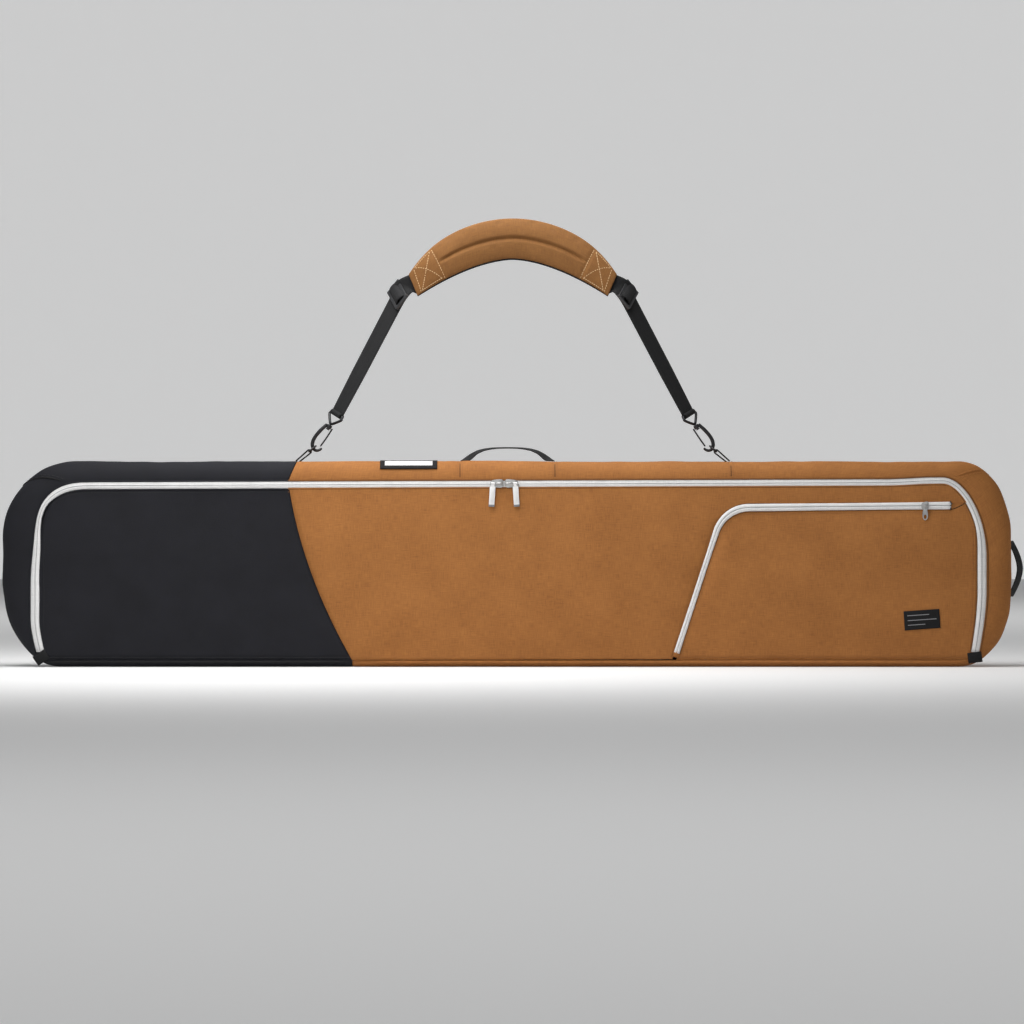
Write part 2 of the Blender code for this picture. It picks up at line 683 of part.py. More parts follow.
def slider(name, x, z, tilt, foot_low, foot_high, material):
    """Slider body on a zip at (x, z), turned to the zip's slope; returns its pivot empty."""
    plate_back = -COIL_HEIGHT - GAP
    plate_front = plate_back - SLIDER_PLATE
    pivot_y = plate_front - PIVOT_STANDOFF
    place = Matrix.Translation((x, front_y, z)) @ Matrix.Rotation(-math.atan(tilt), 4, 'Y')
    half = SLIDER_LENGTH / 2
    wide = SLIDER_WIDTH / 2
    body = block(name, (-half, plate_front, -wide), (half, plate_back, wide), material, place)
    edge = body.modifiers.new("rounded_corners", 'BEVEL')
    edge.width = SLIDER_PLATE * 0.4
    edge.segments = 1
    neck = block(name + "_neck", (-half * 0.5, plate_front + SLIDER_PLATE / 2, -SLIDER_NECK / 2),
                 (half * 0.5, ZIP_TAPE + GAP + SLIDER_FOOT / 2, SLIDER_NECK / 2), material, place)
    foot_front = ZIP_TAPE + GAP
    foot = block(name + "_foot", (-half, foot_front, foot_low),
                 (half, foot_front + SLIDER_FOOT, foot_high), material, place)
    reach = half - CHEEK / 2
    bar_ends = [place @ Vector((x, pivot_y, 0.0)) for x in (-reach, reach)]
    bar = rod(name + "_bar", *bar_ends, PIVOT_RADIUS, 10, material)
    cheeks = []
    outside = half - RUNNING_GAP
    for side in (-1, 1):
        low = min(side * outside, side * (outside - CHEEK))
        cheeks.append(block(name + "_cheek_" + ("a" if side < 0 else "b"),
                            (low, pivot_y - 2 * PIVOT_RADIUS, -2 * PIVOT_RADIUS),
                            (low + CHEEK, plate_front + SLIDER_PLATE / 2, 2 * PIVOT_RADIUS),
                            material, place))
    for tool in [neck, foot, bar] + cheeks:
        cut(body, tool, 'UNION')
    at = place @ Vector((0.0, pivot_y, 0.0))
    moving = pivot(name + "_travel", tuple(at), flap)
    hang(body, moving)
    return moving, place, pivot_y


def pull(name, seat, width, length, hole, material):
    """Pull tab round a slider's pivot bar, hanging down the front."""
    moving, place, pivot_y = seat
    barrel_half = SLIDER_LENGTH / 2 - CHEEK - 2 * RUNNING_GAP
    upright = place @ Vector((0.0, pivot_y, 0.0))
    along = (place.to_3x3() @ Vector((1.0, 0.0, 0.0))) * barrel_half
    body = rod(name, upright - along, upright + along, PULL_BARREL, 14, material)
    hang_place = Matrix.Translation(upright)
    blade = block(name + "_blade", (-width / 2, -PULL_THICKNESS / 2, -length),
                  (width / 2, PULL_THICKNESS / 2, -PULL_BARREL * 0.6), material, hang_place)
    neck_half = barrel_half * 0.9
    waist = blade.modifiers.new("eased_edges", 'BEVEL')
    waist.width = PULL_THICKNESS * 0.3
    waist.segments = 1
    bore_radius = PIVOT_RADIUS + RUNNING_GAP
    bore = rod(name + "_bore", upright - along * 2, upright + along * 2, bore_radius, 14, material)
    cut(body, blade, 'UNION')
    cut(body, bore, 'DIFFERENCE')
    clear = barrel_half + RUNNING_GAP
    for side in (-1, 1):
        far = side * (clear + 2 * CHEEK)
        near = side * neck_half
        notch = block(name + "_notch_" + ("a" if side < 0 else "b"),
                      (min(near, far), -PULL_BARREL * 2, -3 * PIVOT_RADIUS - RUNNING_GAP),
                      (max(near, far), PULL_BARREL * 2, PULL_BARREL * 2), material, hang_place)
        if width / 2 > neck_half:
            cut(body, notch, 'DIFFERENCE')
        else:
            bpy.data.objects.remove(notch)
    if hole:
        low = upright + Vector((0.0, -PULL_THICKNESS, -length + width / 2))
        through = Vector((0.0, 2 * PULL_THICKNESS, 0.0))
        eyelet = rod(name + "_eyelet", low, low + through, width / 4, 14, material)
        cut(body, eyelet, 'DIFFERENCE')
    swing = pivot(name + "_swing", tuple(upright), moving)
    hang(body, swing)


main_foot = (-zip_middle + GAP, SLIDER_NECK / 2 + GAP / 2)
for side, word in ((-1, "left"), (1, "right")):
    at_x = MAIN_SLIDER_MIDDLE + side * MAIN_SLIDER_SPACING / 2
    at_z = lip_height(at_x, zip_middle)
    seat = slider("main_slider_" + word, at_x, at_z, LIP_TILT, *main_foot, pull_metal)
    pull("main_pull_" + word, seat, MAIN_PULL_WIDTH, MAIN_PULL_LENGTH, False, zip_grey)
pocket_slider_x = half_length - POCKET_SLIDER_INSET
pocket_z = pocket_line(0.0)[-1][1] - (pocket_end - pocket_slider_x) * POCKET_TILT
pocket_foot = (-pocket_half + GAP, pocket_half - GAP)
pocket_seat = slider("pocket_slider", pocket_slider_x, pocket_z, POCKET_TILT, *pocket_foot, pull_metal)
pull("pocket_pull", pocket_seat, POCKET_PULL_WIDTH, POCKET_PULL_LENGTH, True, pull_metal)


# Webbing handles, sewn at both ends

def band(name, path, thickness, material, width):
    """Strip of webbing laid along a path of (x, z) points, thickness to the left of the way it runs."""
    outer = []
    for k, (x, z) in enumerate(path):
        before = Vector(path[max(k - 1, 0)])
        after = Vector(path[min(k + 1, len(path) - 1)])
        run = (after - before).normalized()
        outer.append((x - run.y * thickness, z + run.x * thickness))
    edges = (-width / 2, width / 2)
    shell(name, [[(x, y, z) for y in edges] for x, z in outer],
          [[(x, y, z) for y in edges] for x, z in path], material)


def bow(start, end, height):
    """Arch of (along, up) points from start to end, with a flat foot at each end."""
    steps = 12
    low = start + HANDLE_FOOT
    high = end - HANDLE_FOOT
    points = [(start, GAP), (start + HANDLE_FOOT / 2, GAP)]
    for k in range(steps + 1):
        share = 2.0 * k / steps - 1.0
        points.append((low + (high - low) * k / steps, GAP + height * (1.0 - abs(share) ** 2.2)))
    return points + [(end - HANDLE_FOOT / 2, GAP), (end, GAP)]


handle_arch = bow(HANDLE_LEFT, HANDLE_RIGHT, HANDLE_RISE - HANDLE_THICKNESS - GAP)
handle_line = [(x, BAG_HEIGHT + up) for x, up in handle_arch]
band("carry_handle", handle_line, HANDLE_THICKNESS, webbing_black, HANDLE_WIDTH)
end_arch = bow(END_HANDLE_BOTTOM, END_HANDLE_TOP, END_HANDLE_RISE - HANDLE_THICKNESS - GAP)
end_line = [(half_length + out, z) for z, out in reversed(end_arch)]
band("end_handle", end_line, HANDLE_THICKNESS, webbing_black, HANDLE_WIDTH)


# ID window over the top front edge: fabric binding round a clear pane, with a card behind it

def window_grid(ends, low, high, depth):
    """Points over the top front edge between two angles of the edge and on to the flat top."""
    top = BAG_HEIGHT - depth
    y_edge = front_y + FRONT_EDGE
    rows = []
    for x in ends:
        lip = lip_height(x, 0.0)
        row = []
        for angle in low + [90.0]:
            turn = math.radians(angle)
            y = y_edge - (FRONT_EDGE - depth) * math.cos(turn)
            row.append((x, y, lip + (top - lip) * math.sin(turn)))
        row += [(x, y_edge + reach, top) for reach in high]
        rows.append(row)
    return rows


window_right = WINDOW_LEFT + WINDOW_LENGTH
frame_ends = [WINDOW_LEFT, WINDOW_LEFT + WINDOW_BINDING, window_right - WINDOW_BINDING, window_right]
frame_low = [WINDOW_START, WINDOW_START + WINDOW_BAR, WINDOW_BEND]
frame_high = [WINDOW_REACH - WINDOW_BINDING, WINDOW_REACH]
frame_hole = [(1, 1), (1, 2), (1, 3)]
shell("id_window_frame", window_grid(frame_ends, frame_low, frame_high, -GAP - BINDING_THICKNESS),
      window_grid(frame_ends, frame_low, frame_high, -GAP), webbing_black, hole=frame_hole)
pane_ends = [frame_ends[1] + GAP, frame_ends[2] - GAP]
pane_low = [WINDOW_START + WINDOW_BAR + PANE_EASE, WINDOW_BEND]
pane_high = [WINDOW_REACH - WINDOW_BINDING - GAP]
pane_depth = -2 * GAP - CARD
shell("id_card", window_grid(pane_ends, pane_low, pane_high, -GAP - CARD),
      window_grid(pane_ends, pane_low, pane_high, -GAP), card_white)
shell("id_window", window_grid(pane_ends, pane_low, pane_high, pane_depth - PANE),
      window_grid(pane_ends, pane_low, pane_high, pane_depth), clear_vinyl)


# Shoulder strap: curved pad with a sewn channel, webbing, adjusters and swivel snap hooks

depth_way = Vector((0.0, 1.0, 0.0))


def on_strap(side, point, y=0.0):
    """World place of a strap point given as (distance from the middle, height above the bag)."""
    return Vector((STRAP_MIDDLE + side * point[0], y, BAG_HEIGHT + point[1]))


def strap_way(side, way):
    """World direction of a direction in the strap's plane."""
    return Vector((side * way[0], 0.0, way[1])).normalized()


def pad_edge(share, outer):
    """Point of the pad's outer or inner edge; share runs from -1 to 1 along the pad."""
    if outer:
        drop = PAD_OUTER_DROP * share ** 2 + PAD_OUTER_TAPER * share ** 6
        return (PAD_OUTER_HALF * share, PAD_RISE - drop)
    inner_peak = PAD_RISE - PAD_WIDTH
    return (PAD_INNER_HALF * share, inner_peak - PAD_INNER_DROP * abs(share) ** PAD_INNER_CURVE)


def pad_grid(face):
    """Grid over the pad; face gives y from the share along and the share across."""
    rows = []
    for k in range(PAD_ROWS + 1):
        along = 2.0 * k / PAD_ROWS - 1.0
        inner = Vector(pad_edge(along, False))
        outer = Vector(pad_edge(along, True))
        points = [(across, inner.lerp(outer, across)) for across in PAD_COLUMNS]
        rows.append([on_strap(1, point, face(along, across)) for across, point in points])
    return rows


backing_back = -WEBBING_THICKNESS / 2 - GAP
backing_front = backing_back - PAD_BACKING
cover_back = backing_front - GAP


def pad_front(along, across):
    """Crowned front of the pad, drawn in at its edges and along the sewn channel."""
    crown = math.sqrt(max(0.0, 1.0 - (2.0 * across - 1.0) ** 2))
    ends = min(1.0, 4.0 * (1.0 - abs(along)))
    height = PAD_EDGE + (PAD_CROWN - PAD_EDGE) * crown * ends
    in_channel = abs(across - 0.5) < 0.01 and abs(along) * PAD_OUTER_HALF < PAD_CHANNEL_HALF
    return cover_back - height + (PAD_CHANNEL if in_channel else 0.0)


pad_end = Vector(pad_edge(1.0, False)).lerp(Vector(pad_edge(1.0, True)), 0.5)
adjuster_place = pad_end + Vector(ADJUSTER_OFFSET)
webbing_way = (Vector(WEBBING_FOOT) - adjuster_place).normalized()
hook_way = Vector(HOOK_AXIS).normalized()
hem_bore = EYE_WIRE + RUNNING_GAP
hem_radius = hem_bore + HEM_WALL
bar_place = Vector(WEBBING_FOOT) + hook_way * (hem_radius - HEM_WALL / 2)
collar_top = EYE_HEIGHT + EYE_WIRE + 2 * RUNNING_GAP
collar_bottom = collar_top + COLLAR_LENGTH
bow_share, bow_side, bow_thick = HOOK_SHAPE[HOOK_BOW]
swing_point = bar_place + hook_way * (collar_bottom + HOOK_LENGTH * bow_share) + Vector((
    -hook_way.y, hook_way.x)) * (HOOK_BULGE * bow_side)
strap = pivot("strap_swing", (STRAP_MIDDLE, 0.0, BAG_HEIGHT + swing_point.y))

cover = shell("pad_cover", pad_grid(pad_front), pad_grid(lambda along, across: cover_back), tan_fabric)
backing = shell("pad_backing", pad_grid(lambda along, across: backing_front),
                pad_grid(lambda along, across: backing_back), webbing_black)
hang(cover, strap)
hang(backing, strap)


def webbing(side, word):
    """Webbing from under the pad's end to a hem round the swivel eye's bar, twisted at its foot."""
    along = strap_way(side, webbing_way)
    across = strap_way(side, (-webbing_way.y, webbing_way.x))
    hook_across = strap_way(side, (-hook_way.y, hook_way.x))
    half = WEBBING_WIDTH / 2
    thick = WEBBING_THICKNESS / 2
    inner = Vector(pad_edge(1.0, False))
    outer = Vector(pad_edge(1.0, True))
    end = (outer - inner).normalized()
    tuck = Vector((-end.y, end.x)) * WEBBING_TUCK
    sections = [[on_strap(side, inner + tuck, -thick), on_strap(side, outer + tuck, -thick),
                 on_strap(side, outer + tuck, thick), on_strap(side, inner + tuck, thick)]]
    top = on_strap(side, adjuster_place - webbing_way * (ADJUSTER_LENGTH / 2 + WEBBING_LEAD))
    foot = on_strap(side, WEBBING_FOOT)
    straight = foot - along * TWIST_LENGTH
    steps = 8
    stops = [(top, 0.0)] + [(straight.lerp(foot, k / steps), k / steps) for k in range(steps + 1)]
    for centre, share in stops:
        turn = math.radians(WEBBING_TWIST) * share
        level = across.lerp(hook_across, share).normalized()
        wide = (level * math.cos(turn) + depth_way * math.sin(turn)) * half
        deep = (depth_way * math.cos(turn) - level * math.sin(turn)) * thick
        sections.append([centre - wide - deep, centre + wide - deep,
                         centre + wide + deep, centre - wide + deep])
    body = smooth(loft("webbing_" + word, sections, webbing_black))
    turn = math.radians(WEBBING_TWIST)
    bar_way = hook_across * math.cos(turn) + depth_way * math.sin(turn)
    bar = on_strap(side, bar_place)
    hem_half = half - EYE_WIRE
    hem_reach = bar_way * hem_half
    hem = rod("hem_" + word, bar - hem_reach, bar + hem_reach, hem_radius, 12, webbing_black)
    bore_reach = bar_way * WEBBING_WIDTH
    bore = rod("hem_bore_" + word, bar - bore_reach, bar + bore_reach, hem_bore, 12, webbing_black)
    cut(body, hem, 'UNION')
    cut(body, bore, 'DIFFERENCE')
    hang(body, strap)
    return bar, bar_way


def adjuster(side, word):
    """Plastic strap slide: two rails, two front bars and a middle bar behind the webbing."""
    along = strap_way(side, webbing_way)
    across = strap_way(side, (-webbing_way.y, webbing_way.x))
    place = Matrix((across, depth_way, along)).transposed().to_4x4()
    place.translation = on_strap(side, adjuster_place)
    slot_half = WEBBING_WIDTH / 2 + SLOT_CLEARANCE
    slot_deep = WEBBING_THICKNESS / 2 + SLOT_CLEARANCE
    wide = slot_half + ADJUSTER_RAIL
    deep = slot_deep + ADJUSTER_PLATE
    long = ADJUSTER_LENGTH / 2
    body = block("adjuster_" + word, (-wide, -deep, -long), (wide, deep, long), black_plastic, place)
    edge = body.modifiers.new("eased_edges", 'BEVEL')
    edge.width = ADJUSTER_PLATE * 0.4
    edge.segments = 2
    slot = block("slot_" + word, (-slot_half, -slot_deep, -2 * long), (slot_half, slot_deep, 2 * long),
                 black_plastic, place)
    window_half = long - ADJUSTER_BAR
    ledge = slot_half - ADJUSTER_LEDGE
    window = block("adjuster_window_" + word, (-ledge, -2 * deep, -window_half), (ledge, 0.0, window_half),
                   black_plastic, place)
    tools = [slot, window]
    for way in (-1, 1):
        near = way * ADJUSTER_BAR / 2
        far = way * 2 * long
        tools.append(block("adjuster_gap_" + word + ("_a" if way < 0 else "_b"),
                           (-ledge, 0.0, min(near, far)), (ledge, 2 * deep, max(near, far)),
                           black_plastic, place))
    for tool in tools:
        cut(body, tool, 'DIFFERENCE')
    moving = pivot("adjuster_travel_" + word, tuple(place.translation), strap)
    hang(body, moving)


def swivel_eye(side, word, bar, bar_way):
    """Wire eye for the webbing with a riveted stem that turns in the hook's collar."""
    down = strap_way(side, hook_way)
    reach = WEBBING_WIDTH / 2 + EYE_WIRE + 2 * GAP
    low = 2 * EYE_WIRE
    half_outline = [(0.0, 0.0), (reach * 0.85, 0.0), (reach * 0.97, 0.15), (reach, 0.3),
                    (reach * 0.6, 0.65), (low, 0.95), (0.0, 1.0)]
    outline = half_outline + [(-wide, share) for wide, share in reversed(half_outline[1:-1])]
    path = [bar + bar_way * wide + down * (share * EYE_HEIGHT) for wide, share in outline]
    across = down.cross(bar_way).normalized()
    body = tube("swivel_eye_" + word, path, [EYE_WIRE] * len(path), 10, hook_metal, across, closed=True)
    head = bar + down * (collar_bottom + RUNNING_GAP)
    stem_foot = head + down * STEM_HEAD / 2
    stem = rod("stem_" + word, bar + down * EYE_HEIGHT, stem_foot, STEM_RADIUS, 14, hook_metal)
    rivet = rod("rivet_" + word, head, head + down * STEM_HEAD, STEM_HEAD_RADIUS, 14, hook_metal)
    cut(body, stem, 'UNION')
    cut(body, rivet, 'UNION')
    hang(body, strap)


def hook(side, word, bar):
    """Snap hook: collar round the swivel stem, bulged arm, bow and nose, closed by a sprung gate."""
    down = strap_way(side, hook_way)
    across = strap_way(side, (-hook_way.y, hook_way.x))
    collar = bar + down * collar_top
    base = bar + down * collar_bottom
    path = [base + down * (HOOK_LENGTH * v) + across * (HOOK_BULGE * q) for v, q, _ in HOOK_SHAPE]
    radii = [HOOK_WIRE * share for _, _, share in HOOK_SHAPE]
    body = tube("hook_" + word, path, radii, 12, hook_metal, depth_way)
    ring = rod("collar_" + word, collar, base, COLLAR_RADIUS, 20, hook_metal)
    bore = rod("collar_bore_" + word, collar - down * COLLAR_LENGTH, base + down * GAP * 8,
               STEM_RADIUS + RUNNING_GAP, 20, hook_metal)
    cut(body, ring, 'UNION')
    cut(body, bore, 'DIFFERENCE')
    turning = pivot("hook_turn_" + word, tuple(base), strap)
    hang(body, turning)
    gate_side = COLLAR_RADIUS + GATE_WIRE + 3 * RUNNING_GAP
    gate_top = base - down * (COLLAR_LENGTH * 0.45) - across * gate_side
    tip = path[-1] - down * GATE_TIP_BACK + across * (NOSE_RADIUS + GATE_WIRE + RUNNING_GAP)
    gate_pivot = base - down * (COLLAR_LENGTH * 0.15) - across * gate_side
    gate = tube("gate_" + word, [gate_top, gate_pivot, tip], [GATE_WIRE] * 3, 8, hook_metal, depth_way)
    snapping = pivot("gate_snap_" + word, tuple(gate_pivot), turning)
    hang(gate, snapping)


def ring_and_tab(side, word, bar):
    """D-ring seen edge-on in the hook's bow, held by a webbing tab sewn to the top gusset."""
    down = strap_way(side, hook_way)
    across = strap_way(side, (-hook_way.y, hook_way.x))
    inside = HOOK_LENGTH * bow_share - HOOK_WIRE * bow_thick - RING_WIRE - RING_SLACK
    apex = bar + down * (collar_bottom + inside) + across * (HOOK_BULGE * bow_side)
    foot = on_strap(side, (sum(TAB_FOOT) / 2, 0.0))
    way = (foot - apex).normalized()
    half = RING_INSIDE / 2 + RING_WIRE
    steps = 10
    straight = TAB_WIDTH / 2 + GAP
    path = [apex + way * RING_DEPTH + depth_way * (straight * k) for k in (-1, 0, 1)]
    for k in range(steps + 1):
        turn = math.pi * k / steps
        drop = RING_DEPTH * RING_FULLNESS * (1.0 - math.sin(turn))
        path.append(apex + way * drop + depth_way * (half * math.cos(turn)))
    tube("ring_" + word, path, [RING_WIRE] * len(path), 8, hook_metal, way.cross(depth_way), closed=True)
    centre = apex + way * RING_DEPTH
    side_way = Vector((-way.z, 0.0, way.x)) * side
    loop_in = []
    loop_out = []
    bore = RING_WIRE + RUNNING_GAP
    turns = 6
    for k in range(turns + 1):
        angle = math.pi * k / turns - math.pi / 2
        out = side_way * math.sin(angle) - way * math.cos(angle)
        loop_in.append(centre + out * bore)
        loop_out.append(centre + out * (bore + TAB_THICKNESS))
    near, far = TAB_FOOT
    for h_in, h_out in ((far, far + TAB_FOLD_FAR), (near, near - TAB_FOLD_NEAR)):
        loop_in.append(on_strap(side, (h_in, GAP + TAB_THICKNESS)))
        loop_out.append(on_strap(side, (h_out, GAP)))
    edges = (-TAB_WIDTH / 2, TAB_WIDTH / 2)
    shell("anchor_tab_" + word, [[point + depth_way * y for y in edges] for point in loop_out],
          [[point + depth_way * y for y in edges] for point in loop_in], webbing_black, wrap=True)


for side, word in ((-1, "left"), (1, "right")):
    bar, bar_way = webbing(side, word)
    adjuster(side, word)
    swivel_eye(side, word, bar, bar_way)
    hook(side, word, bar)
    ring_and_tab(side, word, bar)
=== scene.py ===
import math

import bmesh
import bpy
from mathutils import Matrix, Vector, noise
from mathutils.bvhtree import BVHTree


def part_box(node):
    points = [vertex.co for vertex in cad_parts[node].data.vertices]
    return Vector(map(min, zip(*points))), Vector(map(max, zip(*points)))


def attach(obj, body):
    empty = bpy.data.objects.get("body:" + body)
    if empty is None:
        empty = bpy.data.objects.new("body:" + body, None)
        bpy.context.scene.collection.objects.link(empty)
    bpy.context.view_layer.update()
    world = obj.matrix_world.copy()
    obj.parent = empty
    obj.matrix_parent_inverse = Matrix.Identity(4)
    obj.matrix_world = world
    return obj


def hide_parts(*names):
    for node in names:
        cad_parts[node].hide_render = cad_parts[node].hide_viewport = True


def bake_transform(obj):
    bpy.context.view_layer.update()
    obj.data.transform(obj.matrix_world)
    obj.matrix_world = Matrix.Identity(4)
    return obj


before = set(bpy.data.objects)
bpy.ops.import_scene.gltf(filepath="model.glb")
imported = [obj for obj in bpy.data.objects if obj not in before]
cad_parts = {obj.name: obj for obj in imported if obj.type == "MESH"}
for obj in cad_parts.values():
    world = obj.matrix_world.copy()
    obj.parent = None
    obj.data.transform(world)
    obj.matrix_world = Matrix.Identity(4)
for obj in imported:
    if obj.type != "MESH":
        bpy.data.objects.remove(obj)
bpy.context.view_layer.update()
scene = bpy.context.scene


def placed(name, data):
    """New object with this data in the scene."""
    item = bpy.data.objects.new(name, data)
    scene.collection.objects.link(item)
    return item


# Camera: a long lens straight in front of the bag, level, at the height of the picture's middle.
VIEW_MIDDLE = (0.00865, 0.2683)
VIEW_WIDTH = 1.7724
LENS = 200.0
SENSOR = 36.0
BAG_FRONT = -0.070

view = bpy.data.cameras.new("view")
view.lens = LENS
view.sensor_width = SENSOR
view.clip_end = 60.0
scene.camera = placed("view", view)
scene.camera.location = (VIEW_MIDDLE[0], BAG_FRONT - VIEW_WIDTH * LENS / SENSOR, VIEW_MIDDLE[1])
scene.camera.rotation_euler = (math.pi / 2, 0.0, 0.0)

# Studio: a round sweep of pale paper that glows a little, more where it rises, with soft lights high on
# the left and a wash on the floor in front and behind.
PAPER = (0.76, 0.76, 0.755, 1.0)
GLOW = (0.95, 0.95, 0.95, 1.0)
SKY = (0.93, 0.95, 1.0, 1.0)
FLOOR_GLOW = 0.10
BACKDROP_GLOW = 0.42
SWEEP_FLAT = 13.0
SWEEP_BEND = 3.5
SWEEP_HEIGHT = 6.0
LIGHTS = (
    ("key", (-0.88, -1.12, 1.68), (-0.2, 0.0, 0.25), 0.9, 14.2),
    ("top", (-0.25, -0.22, 1.55), (-0.1, 0.0, 0.25), 1.3, 27.0),
    ("floor", (0.0, -5.4, 3.2), (0.0, -5.4, 0.0), 4.2, 62.0),
    ("back_floor", (0.0, 4.6, 3.0), (0.0, 5.6, 0.0), 3.6, 60.0),
)


def tune(node, values):
    """Set inputs of a node by name."""
    for key, value in values.items():
        node.inputs[key].default_value = value


def mesh_of(name, work):
    """Mesh made of a bmesh, which is used up."""
    mesh = bpy.data.meshes.new(name)
    work.to_mesh(mesh)
    work.free()
    return mesh


def welded(work, gap):
    """Join points closer than gap and turn the faces outwards."""
    bmesh.ops.remove_doubles(work, verts=work.verts, dist=gap)
    bmesh.ops.recalc_face_normals(work, faces=work.faces)
    return work


def spun(work, verts, edges, axis, steps):
    """Turn a profile all the way round an axis through the origin."""
    bmesh.ops.spin(work, geom=verts + edges, cent=(0.0, 0.0, 0.0), axis=axis, angle=2.0 * math.pi,
                   steps=steps, use_merge=True)


scene.world = bpy.data.worlds.new("studio")
scene.world.use_nodes = True
tune(scene.world.node_tree.nodes["Background"], {"Color": SKY, "Strength": 0.08})
scene.view_settings.view_transform = 'Standard'
for name, spot, target, size, power in LIGHTS:
    lamp = bpy.data.lights.new(name, 'AREA')
    lamp.shape = 'DISK'
    lamp.size = size
    lamp.energy = power
    stand = placed(name, lamp)
    stand.location = spot
    stand.rotation_euler = (Vector(target) - Vector(spot)).to_track_quat('-Z', 'Y').to_euler()

work = bmesh.new()
profile = [work.verts.new((0.0, 0.0, 0.0))]
for bend in (math.pi / 2 * k / 12.0 for k in range(13)):
    out = SWEEP_FLAT + SWEEP_BEND * math.sin(bend)
    profile.append(work.verts.new((out, 0.0, SWEEP_HEIGHT * (1.0 - math.cos(bend)))))
spun(work, profile, [work.edges.new(pair) for pair in zip(profile, profile[1:])], (0.0, 0.0, 1.0), 64)
sweep_mesh = mesh_of("paper_sweep", welded(work, 0.0001))
sweep_mesh.shade_smooth()
for name, glow in (("pale_paper", FLOOR_GLOW), ("lit_backdrop", BACKDROP_GLOW)):
    paper = bpy.data.materials.new(name)
    paper.use_nodes = True
    tune(paper.node_tree.nodes["Principled BSDF"], {
        "Base Color": PAPER, "Roughness": 0.9, "Specular IOR Level": 0.1, "Emission Color": GLOW,
        "Emission Strength": glow})
    sweep_mesh.materials.append(paper)
for face in sweep_mesh.polygons:
    face.material_index = int(face.center.z > 0.01)
placed("paper_sweep", sweep_mesh)

# Gusset: the band of woven polyester that runs all the way round the bag, from the main zip over
# the rounded front edge to the back seam. Two lengths of cloth, black round the left end and tan
# round the rest, sewn together on the top and under the base; foam behind it keeps it full.
HALF_LENGTH = 0.875
HEIGHT = 0.356
BACK = 0.070
EDGE = 0.025
CLOTH = 0.0012
TOP_LEFT = -0.745
TOP_RIGHT = 0.785
BASE_LEFT = -0.775
BODY_CORNERS = ((BASE_LEFT, 0.150, 0.100, 0.150, 270.0), (TOP_LEFT, 0.226, 0.130, 0.130, 180.0),
                (TOP_RIGHT, 0.226, 0.090, 0.130, 90.0), (TOP_RIGHT, 0.130, 0.090, 0.130, 0.0))
LIP_FOOT = 0.012
LIP_TOP = 0.3232
LIP_SLOPE = 0.0038
LIP_LIFT = 0.0029
LIP_LIFT_START = 0.655
LIP_LIFT_RUN = 0.085
LIP_LEAN = 0.008
LIP_LEAN_START = 0.14
LIP_LEAN_RUN = 0.12
LIP_DRAWN = 0.018
LIP_DRAWN_BELOW = (0.080, 0.125)
LIP_INSET = (0.0497, 0.0442)
LIP_CORNERS = ((0.1065, 0.1065, 2.8), (0.0765, 0.1365, 1.85))
LIP_RUN = (-0.718, 0.756)
SEAM_TOP = -0.365
SEAM_ZIP = -0.379
SEAM_BASE = -0.268
SEAM_BOW = 0.066
HANDLE_SEAMS = (-0.0814, 0.083)
RIGHT_SEAM = 0.388
BAND_WIDTH = 0.180
FRONT_SHARE = 0.28
BACK_SHARE = 0.76
SEWN_SPOTS = ((-0.076, 0.0, HEIGHT), (0.078, 0.0, HEIGHT), (-0.365, 0.0, HEIGHT), (0.385, 0.0, HEIGHT),
              (-0.195, -0.03, HEIGHT), (-0.170, -0.03, HEIGHT), (-0.145, -0.03, HEIGHT),
              (HALF_LENGTH, 0.0, 0.126), (HALF_LENGTH, 0.0, 0.213))
TAN_LIGHT = (0.410, 0.166, 0.0435)
TAN_DARK = (0.246, 0.092, 0.0210)
BLACK_LIGHT = (0.0126, 0.0128, 0.0178)
BLACK_DARK = (0.0039, 0.0040, 0.0058)


def node_in(tree, kind, links=(), **settings):
    """Node with its settings; links are (input, output it is joined to or constant) pairs."""
    node = tree.nodes.new(kind)
    for key, value in settings.items():
        setattr(node, key, value)
    for key, source in links:
        if hasattr(source, "is_output"):
            tree.links.new(source, node.inputs[key])
        else:
            node.inputs[key].default_value = source
    return node


def sum_of(tree, operation, *values):
    """Output of a Math node."""
    return node_in(tree, "ShaderNodeMath", list(enumerate(values)), operation=operation).outputs[0]


def noise_in(tree, place, scale, detail):
    """Output of a noise texture."""
    links = [("Vector", place), ("Scale", scale), ("Detail", detail)]
    return node_in(tree, "ShaderNodeTexNoise", links).outputs[0]


def mixed(tree, factor, dark, light, **settings):
    """Colour between dark and light."""
    return node_in(tree, "ShaderNodeMix", [("Factor", factor), (6, dark), (7, light)], data_type='RGBA',
                   **settings).outputs[2]


def surface_group(name, *sizes):
    """Node group from place, sizes and colours to a surface's colour, roughness and height."""
    group = bpy.data.node_groups.new(name, "ShaderNodeTree")
    inputs = (("Place", "Vector"), *((size, "Float") for size in sizes), ("Light", "Color"),
              ("Dark", "Color"))
    outputs = (("Color", "Color"), ("Roughness", "Float"), ("Height", "Float"))
    for way, sockets in (('INPUT', inputs), ('OUTPUT', outputs)):
        for socket, kind in sockets:
            group.interface.new_socket(socket, in_out=way, socket_type="NodeSocket" + kind)
    return group, group.nodes.new("NodeGroupInput").outputs, group.nodes.new("NodeGroupOutput").inputs


